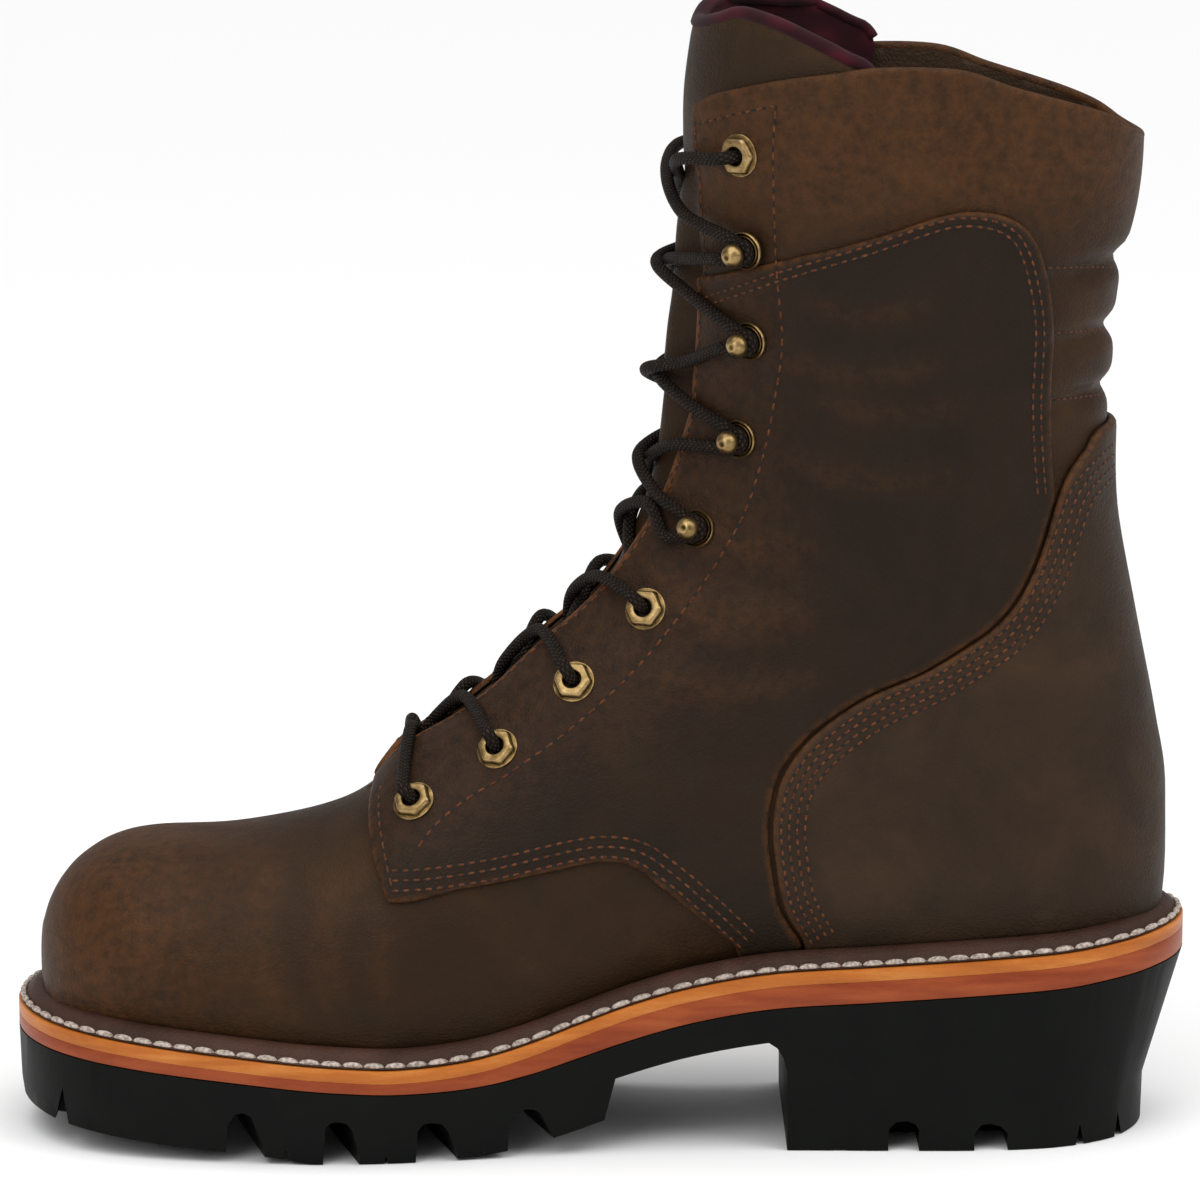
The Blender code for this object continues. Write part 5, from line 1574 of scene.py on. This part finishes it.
# %% Notches and channels
# picture outline of a notch, y of the near wall in mm, depth in mm or 0 right through
NOTCHES = [
    ([(54, 1125), (64, 1083), (71, 1125)], -30, 7),
    ([(228, 1175), (230, 1125), (236, 1113), (244, 1111), (252, 1115), (256, 1124),
      (267, 1150), (268, 1175)], -49, 0),
    ([(281, 1170), (286, 1147), (291, 1170)], -49, 8),
    ([(325, 1180), (325, 1125), (330, 1119), (337, 1118), (346, 1120), (352, 1127),
      (361, 1153), (362, 1180)], -49, 0),
    ([(381, 1180), (386, 1154), (391, 1180)], -49, 8),
    ([(420, 1180), (420, 1126), (426, 1119), (434, 1118), (445, 1120), (452, 1128),
      (463, 1152), (465, 1180)], -45, 0),
    ([(479, 1175), (484, 1147), (489, 1175)], -42, 8),
    ([(516, 1165), (516, 1123), (521, 1107), (532, 1102), (542, 1103), (548, 1107),
      (562, 1129), (575, 1165)], -38, 0),
    ([(832, 1175), (833, 1149), (847, 1149), (848, 1175)], -36, 5),
    ([(887, 1175), (889, 1128), (896, 1121), (907, 1120), (915, 1123), (919, 1129),
      (919, 1175)], -36, 17),
    ([(947, 1175), (951, 1151), (955, 1175)], -36, 6),
    ([(973, 1175), (974, 1130), (981, 1122), (990, 1121), (1000, 1124), (1007, 1131),
      (1008, 1175)], -34, 17),
    ([(1068, 1175), (1079, 1121), (1090, 1175)], -28, 9),
    ([(1109, 1160), (1117, 1109), (1124, 1150)], -20, 9),
]
CHANNEL_SKEW = 14 * MM
print("notches:", len(NOTCHES))


def prism(shape, outline, slices):
    """Closed solid with a side outline, moved along x by its own shift at each y."""
    rings = [[shape.verts.new((x + shift, y, z)) for x, z in outline] for y, shift in slices]
    shape.faces.new(rings[0])
    shape.faces.new(rings[-1][::-1])
    for first, second in zip(rings, rings[1:]):
        for i in range(len(outline)):
            j = (i + 1) % len(outline)
            shape.faces.new((first[i], second[i], second[j], first[j]))


def helper(name, shape):
    """A helper object for a Boolean."""
    bmesh.ops.recalc_face_normals(shape, faces=shape.faces)
    mesh = bpy.data.meshes.new(name)
    shape.to_mesh(mesh)
    shape.free()
    thing = bpy.data.objects.new(name, mesh)
    bpy.context.scene.collection.objects.link(thing)
    return thing


# %% Rubber unit
def moulded_rubber(name, colour, low):
    """Black carbon filled rubber, moulded: satin, with a faint grain of the mould."""
    finish, tree, shader = new_finish(name, 0.5, {"Specular IOR Level": 0.08})
    place = add(tree, "TexCoord").outputs["Object"]
    dust = add(tree, "TexNoise", {"Scale": per_mm(14), "Detail": 5.0, "Roughness": 0.6},
               Vector=place)
    tone = ramp(tree, dust.outputs["Fac"], [(0.35, low), (0.7, colour)])
    tree.links.new(tone, shader.inputs["Base Color"])
    grain = add(tree, "TexNoise", {"Scale": per_mm(1.1), "Detail": 4.0}, Vector=place)
    bump = add(tree, "Bump", {"Strength": 0.25, "Distance": 0.25 * MM},
               Height=grain.outputs["Fac"])
    tree.links.new(bump.outputs["Normal"], shader.inputs["Normal"])
    gloss = add(tree, "MapRange", {"To Min": 0.40, "To Max": 0.62}, Value=dust.outputs["Fac"])
    tree.links.new(gloss.outputs["Result"], shader.inputs["Roughness"])
    return finish


# %% Cutting the rubber unit
black_rubber = moulded_rubber("moulded_black_rubber", "#0E100D", "#080A08")
slab = bmesh.new()
rings = [loop_at(0, above_rubber(WALL / MM)), loop_at(0, above_rubber(0)),
         loop_at(0, lambda x: x * 0 + KNEE_HEIGHT, 2),
         loop_at(0, lambda x: x * 0 - WALL, 3)]
verts = [slab.verts.new(p) for p in np.vstack(rings)]
for face in ring_faces(len(rings), False):
    slab.faces.new([verts[v] for v in face])
unit = helper("rubber_slab", slab)
side = bmesh.new()
prism(side, rubber_side(), [(-BALL_WIDTH, 0), (BALL_WIDTH, 0)])
cuts = bmesh.new()
for line, y_wall, depth in NOTCHES:
    outline = [picture_on_plane(u, v, y_wall * MM) for u, v in line]
    edge = 60 * MM
    if depth:
        for side_sign in (-1, 1):
            reach = side_sign * (abs(y_wall) - depth) * MM
            prism(cuts, outline, [(side_sign * edge, 0), (reach, 0)])
    else:
        prism(cuts, outline, [(-edge, 0.16 * CHANNEL_SKEW), (0, -CHANNEL_SKEW),
                              (edge, 0.16 * CHANNEL_SKEW)])
helpers = [helper("rubber_side", side), helper("channels", cuts)]
for thing, operation in zip(helpers, ("INTERSECT", "DIFFERENCE")):
    cut = unit.modifiers.new(operation.title(), "BOOLEAN")
    cut.operation = operation
    cut.solver = "EXACT"
    cut.use_self = True
    cut.object = thing
soften = unit.modifiers.new("Soften", "BEVEL")
soften.width = 0.45 * MM
soften.segments = 2
soften.limit_method = "ANGLE"
soften.angle_limit = math.radians(38)
rubber_mesh = bpy.data.meshes.new_from_object(unit.evaluated_get(
    bpy.context.evaluated_depsgraph_get()))
for thing in (unit, *helpers):
    bpy.data.objects.remove(thing, do_unlink=True)
rubber_points = [v.co[:] for v in rubber_mesh.vertices]
rubber_faces = [tuple(p.vertices) for p in rubber_mesh.polygons]
rubber = new_piece("rubber_sole_unit", rubber_points, rubber_faces, black_rubber, ["outsole"])
rubber.data.set_sharp_from_angle(angle=math.radians(34))
print("rubber faces:", len(rubber_faces))

# %% [markdown]
# ## Eyelets and speed hooks
#
# The hardware is die cast zinc with an antique brass plating: bright on the edges that are
# rubbed, brown in the hollows. The eyelets have a hexagonal face over a round flange. The
# hooks are a ball on a stem over a base with two rings. Each is a profile turned round its
# own axis and set on the leather along its normal.

# %% Antique brass
def antique_brass_finish():
    """Antique brass plating on die cast zinc: warm, half polished, dark in the hollows."""
    finish, tree, shader = new_finish("antique_brass_plating", 0.3, {"Metallic": 1.0})
    place = add(tree, "TexCoord").outputs["Object"]
    tarnish = add(tree, "TexNoise", {"Scale": per_mm(2.4), "Detail": 5.0, "Roughness": 0.65},
                  Vector=place)
    hollow = add(tree, "Attribute", {"attribute_name": "hollow"})
    mixed = add(tree, "Math", {"operation": "SUBTRACT"}, _0=tarnish.outputs["Fac"],
                _1=hollow.outputs["Fac"])
    colour = ramp(tree, mixed.outputs["Value"],
                  [(0.0, "#2A2013"), (0.35, "#6E5834"), (0.65, "#A48A5E")])
    tree.links.new(colour, shader.inputs["Base Color"])
    gloss = add(tree, "MapRange", {"To Min": 0.46, "To Max": 0.28},
                Value=mixed.outputs["Value"])
    tree.links.new(gloss.outputs["Result"], shader.inputs["Roughness"])
    bump = add(tree, "Bump", {"Strength": 0.2, "Distance": 0.1 * MM},
               Height=tarnish.outputs["Fac"])
    tree.links.new(bump.outputs["Normal"], shader.inputs["Normal"])
    return finish


antique_brass = antique_brass_finish()

# %% Turned shapes
TURNED_SIDES = 48


def turned(profile):
    """Points and faces of a profile turned round Z. A row: radius, height, hex share, hollow."""
    angle = 2 * np.pi * (np.arange(TURNED_SIDES) + 0.5) / TURNED_SIDES
    sector = (angle % (np.pi / 3)) - np.pi / 6
    hexagon = np.cos(np.pi / 6) / np.cos(sector)
    points, hollow = [], []
    for radius, height, hex_share, dark in profile:
        reach = radius * MM * ((1 - hex_share) + hex_share * hexagon)
        points.append(np.column_stack([reach * np.cos(angle), reach * np.sin(angle),
                                       np.full(TURNED_SIDES, height * MM)]))
        hollow += [dark] * TURNED_SIDES
    faces = []
    for i in range(len(profile) - 1):
        for k in range(TURNED_SIDES):
            j = (k + 1) % TURNED_SIDES
            faces.append((i * TURNED_SIDES + k, (i + 1) * TURNED_SIDES + k,
                          (i + 1) * TURNED_SIDES + j, i * TURNED_SIDES + j))
    faces.append(tuple(range(TURNED_SIDES)))
    faces.append(tuple((len(profile) - 1) * TURNED_SIDES + k
                       for k in range(TURNED_SIDES))[::-1])
    return np.vstack(points), faces, hollow


EYELET_PROFILE = [
    # bottom of the hole upwards, then over the face and down the flange
    (2.35, -1.4, 0, 0.6), (2.35, 1.6, 0, 0.5), (2.40, 1.95, 0, 0.1), (2.60, 2.15, 0, -0.2),
    (2.75, 2.20, 0, 0.0), (4.60, 2.20, 1, 0.0), (4.78, 2.12, 1, -0.25), (5.35, 1.20, 1, 0.15),
    (5.38, 0.50, 1, 0.25), (5.40, 0.32, 0.4, 0.2), (5.55, 0.26, 0, 0.0), (5.65, 0.10, 0, 0.0),
    (5.55, -0.3, 0, 0.4),
]
HOOK_PROFILE = [
    # from the dimple of the ball down the stem, then over the two rings of the base
    (0.25, 8.42, 0, 0.4), (0.6, 8.58, 0, 0.2), (1.0, 8.60, 0, -0.2), (1.6, 8.30, 0, 0.0),
    (2.3, 7.68, 0, 0.0), (2.8, 6.85, 0, 0.0), (3.02, 5.9, 0, 0.0), (2.85, 4.95, 0, 0.0),
    (2.3, 4.3, 0, 0.2), (1.5, 3.9, 0, 0.5), (1.1, 3.2, 0, 0.6), (1.2, 1.6, 0, 0.6),
    (2.2, 0.75, 0, 0.6), (3.45, 0.70, 0, 0.5), (3.75, 1.10, 0, -0.2), (4.00, 1.20, 0, -0.3),
    (4.15, 0.90, 0, 0.2), (4.25, 0.45, 0, 0.8), (4.45, 0.45, 0, 0.8), (4.58, 1.00, 0, 0.0),
    (4.85, 1.15, 0, -0.3), (5.08, 0.80, 0, 0.0), (5.12, 0.1, 0, 0.2), (5.0, -0.3, 0, 0.4),
]

# %% Seats of the hardware
ROWS_OF_HARDWARE = ([(place, "eyelet") for place in EYELETS[:4]]
                    + [(place, "hook") for place in HOOKS] + [(EYELETS[4], "eyelet")])


def hardware_seat(number, side_sign):
    """Surface point and mean normal for a row's hardware on one side."""
    tree = UPPER_FACE if number == len(ROWS_OF_HARDWARE) - 1 else QUARTER_FACE
    x, z = side_place([ROWS_OF_HARDWARE[number][0]])[0]
    spot, _, _, _ = tree.ray_cast(Vector((x, side_sign * BESIDE_BOOT, z)),
                                   Vector((0, -side_sign, 0)))
    total = Vector((0, 0, 0))
    for k in range(12):
        turn = math.pi * k / 6
        near = spot + Vector((math.cos(turn), 0, math.sin(turn))) * 4.5 * MM
        lean = tree.find_nearest(near)[1]
        total += lean if lean.y * side_sign > 0 else -lean
    return np.array(spot), np.array(total.normalized())


SEATS = {(number, side_sign): hardware_seat(number, side_sign)
         for number in range(len(ROWS_OF_HARDWARE)) for side_sign in (-1, 1)}
for side_sign, side_name in ((-1, "outer"), (1, "inner")):
    for kind, profile in (("eyelet", EYELET_PROFILE), ("hook", HOOK_PROFILE)):
        shape_points, shape_faces, hollow = turned(profile)
        points, faces, marks, nodes = [], [], [], []
        for number, (_, row_kind) in enumerate(ROWS_OF_HARDWARE):
            if row_kind != kind:
                continue
            spot, normal = SEATS[number, side_sign]
            turn = np.array(Vector(normal).to_track_quat("Z", "Y").to_matrix())
            first = len(points) * len(shape_points)
            points.append(spot + shape_points @ turn.T)
            faces += [tuple(v + first for v in face) for face in shape_faces]
            marks += hollow
            nodes.append("{}_{}_{}".format(kind, side_name, len(nodes) + 1))
        made = new_piece("{}s_{}".format(kind, side_name), np.vstack(points), faces,
                         antique_brass, nodes)
        made.data.set_sharp_from_angle(angle=math.radians(40))
        point_value(made, "hollow", marks)
print("hardware rows:", len(ROWS_OF_HARDWARE))

# %% [markdown]
# ## Lace
#
# One round braided lace of waxed polyester. Its middle is a bar over the two facings at the
# lowest row. Each half goes into an eyelet from outside, comes out from under the facing
# above it, crosses the tongue and goes over the other facing into the next eyelet. From the
# hooks on it stays outside: it goes in below a ball, round behind the stem and out above it.
# Both ends go into the top eyelets and stop inside.

# %% Lace path
LACE_RADIUS = 1.7 * MM
LACE_STEP = 0.8 * MM
# rows at which the strand from the outer side lies on top
OUTER_ON_TOP = (4, 6, 7)
# where a strand leaves a facing, crosses the tongue and meets the other facing, as shares of
# the way from its row to the next one
LACE_SHARES = ([(0.00, 0.27, 0.73)] * 4 + [(-0.05, 0.14, 0.47)] * 2
               + [(0.10, 0.35, 0.56), (0.30, 0.72, 0.90)])


def form_row(spot):
    """Row number on the form that is nearest to a point."""
    return SHEET[((SHEET[:, PLACE] - spot) ** 2).sum(axis=1).argmin(), ROW]


def tongue_front(row, lift):
    """Point above the middle of the tongue's face at a row of the form."""
    i = int(round(float(row) * ROWS_BETWEEN))
    bulge = float(curve_value(TONGUE_BULGE, 1, row)) * MM
    return FORM[i, 0] + NORMALS[i, 0] * (bulge - (WALL + GAP) + lift)


SEAT_ROWS = {key: form_row(spot) for key, (spot, _) in SEATS.items()}
OVER = GAP + QUARTER_THICKNESS + LACE_RADIUS + 0.2 * MM
UNDER = -1.5 * MM - 0.6 * LACE_RADIUS


# %% Round a hook
def round_hook(spot, normal):
    """Places round a hook's stem: in level below the ball, round behind, out above it."""
    wrap = 0.5 * MM + LACE_RADIUS
    level = np.array([0, 0, 1.0]) - normal * normal[2]
    level /= np.linalg.norm(level)
    ahead = np.cross(level, normal)
    ahead = ahead if ahead[0] < 0 else -ahead
    # ahead in mm, then shares of the wrap ahead and up
    steps = [(8.5, 0, -1.05), (4.5, 0, -1.1), (0.8, 0, -1.0), (0, -0.72, -0.72), (0, -1.0, 0),
             (0, -0.72, 0.72), (0.6, 0, 1.0), (4.5, 0, 1.85)]
    return [spot + normal * 2.35 * MM + ahead * (run * MM + share * wrap) + level * rise * wrap
            for run, share, rise in steps]


# %% One half of the lace
def lace_half(first_side):
    """Path of one half of the lace, from the middle of the bar to the top eyelet."""
    side_sign = first_side
    start = SEAT_ROWS[0, side_sign] + 0.15
    path = [tongue_front(start, LACE_RADIUS + 0.4 * MM),
            throat_edge(start, side_sign, OVER)[0]]
    last = len(ROWS_OF_HARDWARE) - 1
    for number in range(last + 1):
        spot, normal = SEATS[number, side_sign]
        row = SEAT_ROWS[number, side_sign]
        if ROWS_OF_HARDWARE[number][1] == "hook":
            path += round_hook(spot, normal)
        else:
            edge, _ = throat_edge(row, side_sign, GAP + QUARTER_THICKNESS)
            to_edge = edge - spot
            to_edge -= normal * to_edge.dot(normal)
            to_edge /= np.linalg.norm(to_edge)
            up = np.cross(normal, to_edge)
            up = up if up[2] > 0 else -up
            path += [spot + normal * 3.6 * MM + to_edge * 4.2 * MM - up * 0.9 * MM,
                     spot + normal * 2.2 * MM + to_edge * 1.3 * MM - up * 0.3 * MM,
                     spot - normal * 0.9 * MM, spot - normal * 3.2 * MM + up * 0.5 * MM]
        if number == last:
            break
        next_row = SEAT_ROWS[number + 1, -side_sign]
        hooked = ROWS_OF_HARDWARE[number][1] == "hook"
        from_outer = side_sign < 0
        on_top = from_outer if number in OUTER_ON_TOP else not from_outer
        spots = [row + (next_row - row) * share for share in LACE_SHARES[number]]
        path += [throat_edge(spots[0], side_sign, OVER if hooked else UNDER)[0],
                 tongue_front(spots[1], LACE_RADIUS + (2 * LACE_RADIUS - 0.3 * MM) * on_top),
                 throat_edge(spots[2], -side_sign, OVER)[0]]
        side_sign = -side_sign
    return even_line(smooth_line(path, LACE_STEP), LACE_STEP)


halves = [lace_half(-1), lace_half(1)]
print("lace halves", [round(len(path) * LACE_STEP / MM) for path in halves], "mm")


# %% Braided lace
def braid(name, dark, light, strands=8, radius=LACE_RADIUS):
    """Round braid of waxed polyester: two sets of slanted strands, painted shade between them."""
    finish, tree, shader = new_finish(name, 0.62, {"Specular IOR Level": 0.12})
    around = add(tree, "SeparateXYZ", None, Vector=add(tree, "TexCoord").outputs["UV"])
    strand = 2 * math.pi * strands / 2
    slant = strand / (2 * math.pi * radius / MM) * 0.9
    turn = add(tree, "Math", {"operation": "MULTIPLY", 1: strand}, _0=around.outputs["X"])
    along = add(tree, "Math", {"operation": "MULTIPLY", 1: slant}, _0=around.outputs["Y"])
    sum_angle = add(tree, "Math", {"operation": "ADD"}, _0=turn.outputs["Value"],
                    _1=along.outputs["Value"])
    less_angle = add(tree, "Math", {"operation": "SUBTRACT"}, _0=turn.outputs["Value"],
                     _1=along.outputs["Value"])
    first = add(tree, "Math", {"operation": "SINE"}, _0=sum_angle.outputs["Value"])
    second = add(tree, "Math", {"operation": "SINE"}, _0=less_angle.outputs["Value"])
    weave = add(tree, "Math", {"operation": "MULTIPLY"}, _0=first.outputs["Value"],
                _1=second.outputs["Value"])
    raised = add(tree, "Math", {"operation": "ABSOLUTE"}, _0=weave.outputs["Value"])
    place = add(tree, "TexCoord").outputs["Object"]
    mottle = add(tree, "TexNoise", {"Scale": per_mm(1.4), "Detail": 3.0}, Vector=place)
    both = add(tree, "Math", {"operation": "MULTIPLY"}, _0=raised.outputs["Value"],
               _1=mottle.outputs["Fac"])
    # Painted shade: the tone follows the braid's relief, near black #0E0A07 in the valleys between
    # strands and the strands' brown on their crests.
    colour = ramp(tree, both.outputs["Value"],
                  [(0.02, "#0E0A07"), (0.22, dark), (0.62, light)])
    tree.links.new(colour, shader.inputs["Base Color"])
    bump = add(tree, "Bump", {"Strength": 0.9, "Distance": 0.45 * MM},
               Height=raised.outputs["Value"])
    tree.links.new(bump.outputs["Normal"], shader.inputs["Normal"])
    return finish


lace_braid = braid("waxed_polyester_lace_braid", "#150F0A", "#3C2C20")
lace_nodes = ["lace_bar"] + ["lace_cross_{}".format(k) for k in range(1, 9)]
swept_piece("laces", [(path, carried_up(path)) for path in halves],
            ellipse(LACE_RADIUS, LACE_RADIUS, 16), lace_braid, lace_nodes)

# %% [markdown]
# ## Insole and other nodes that stay
#
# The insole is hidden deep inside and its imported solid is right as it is, so it only gets
# the finish of the knitted lining.

# %% Finishes of the nodes that stay
insole_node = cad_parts["insole"]
insole_node.data.materials.clear()
insole_node.data.materials.append(lining_knit)
print("kept:", [n for n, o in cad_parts.items() if not o.hide_render])
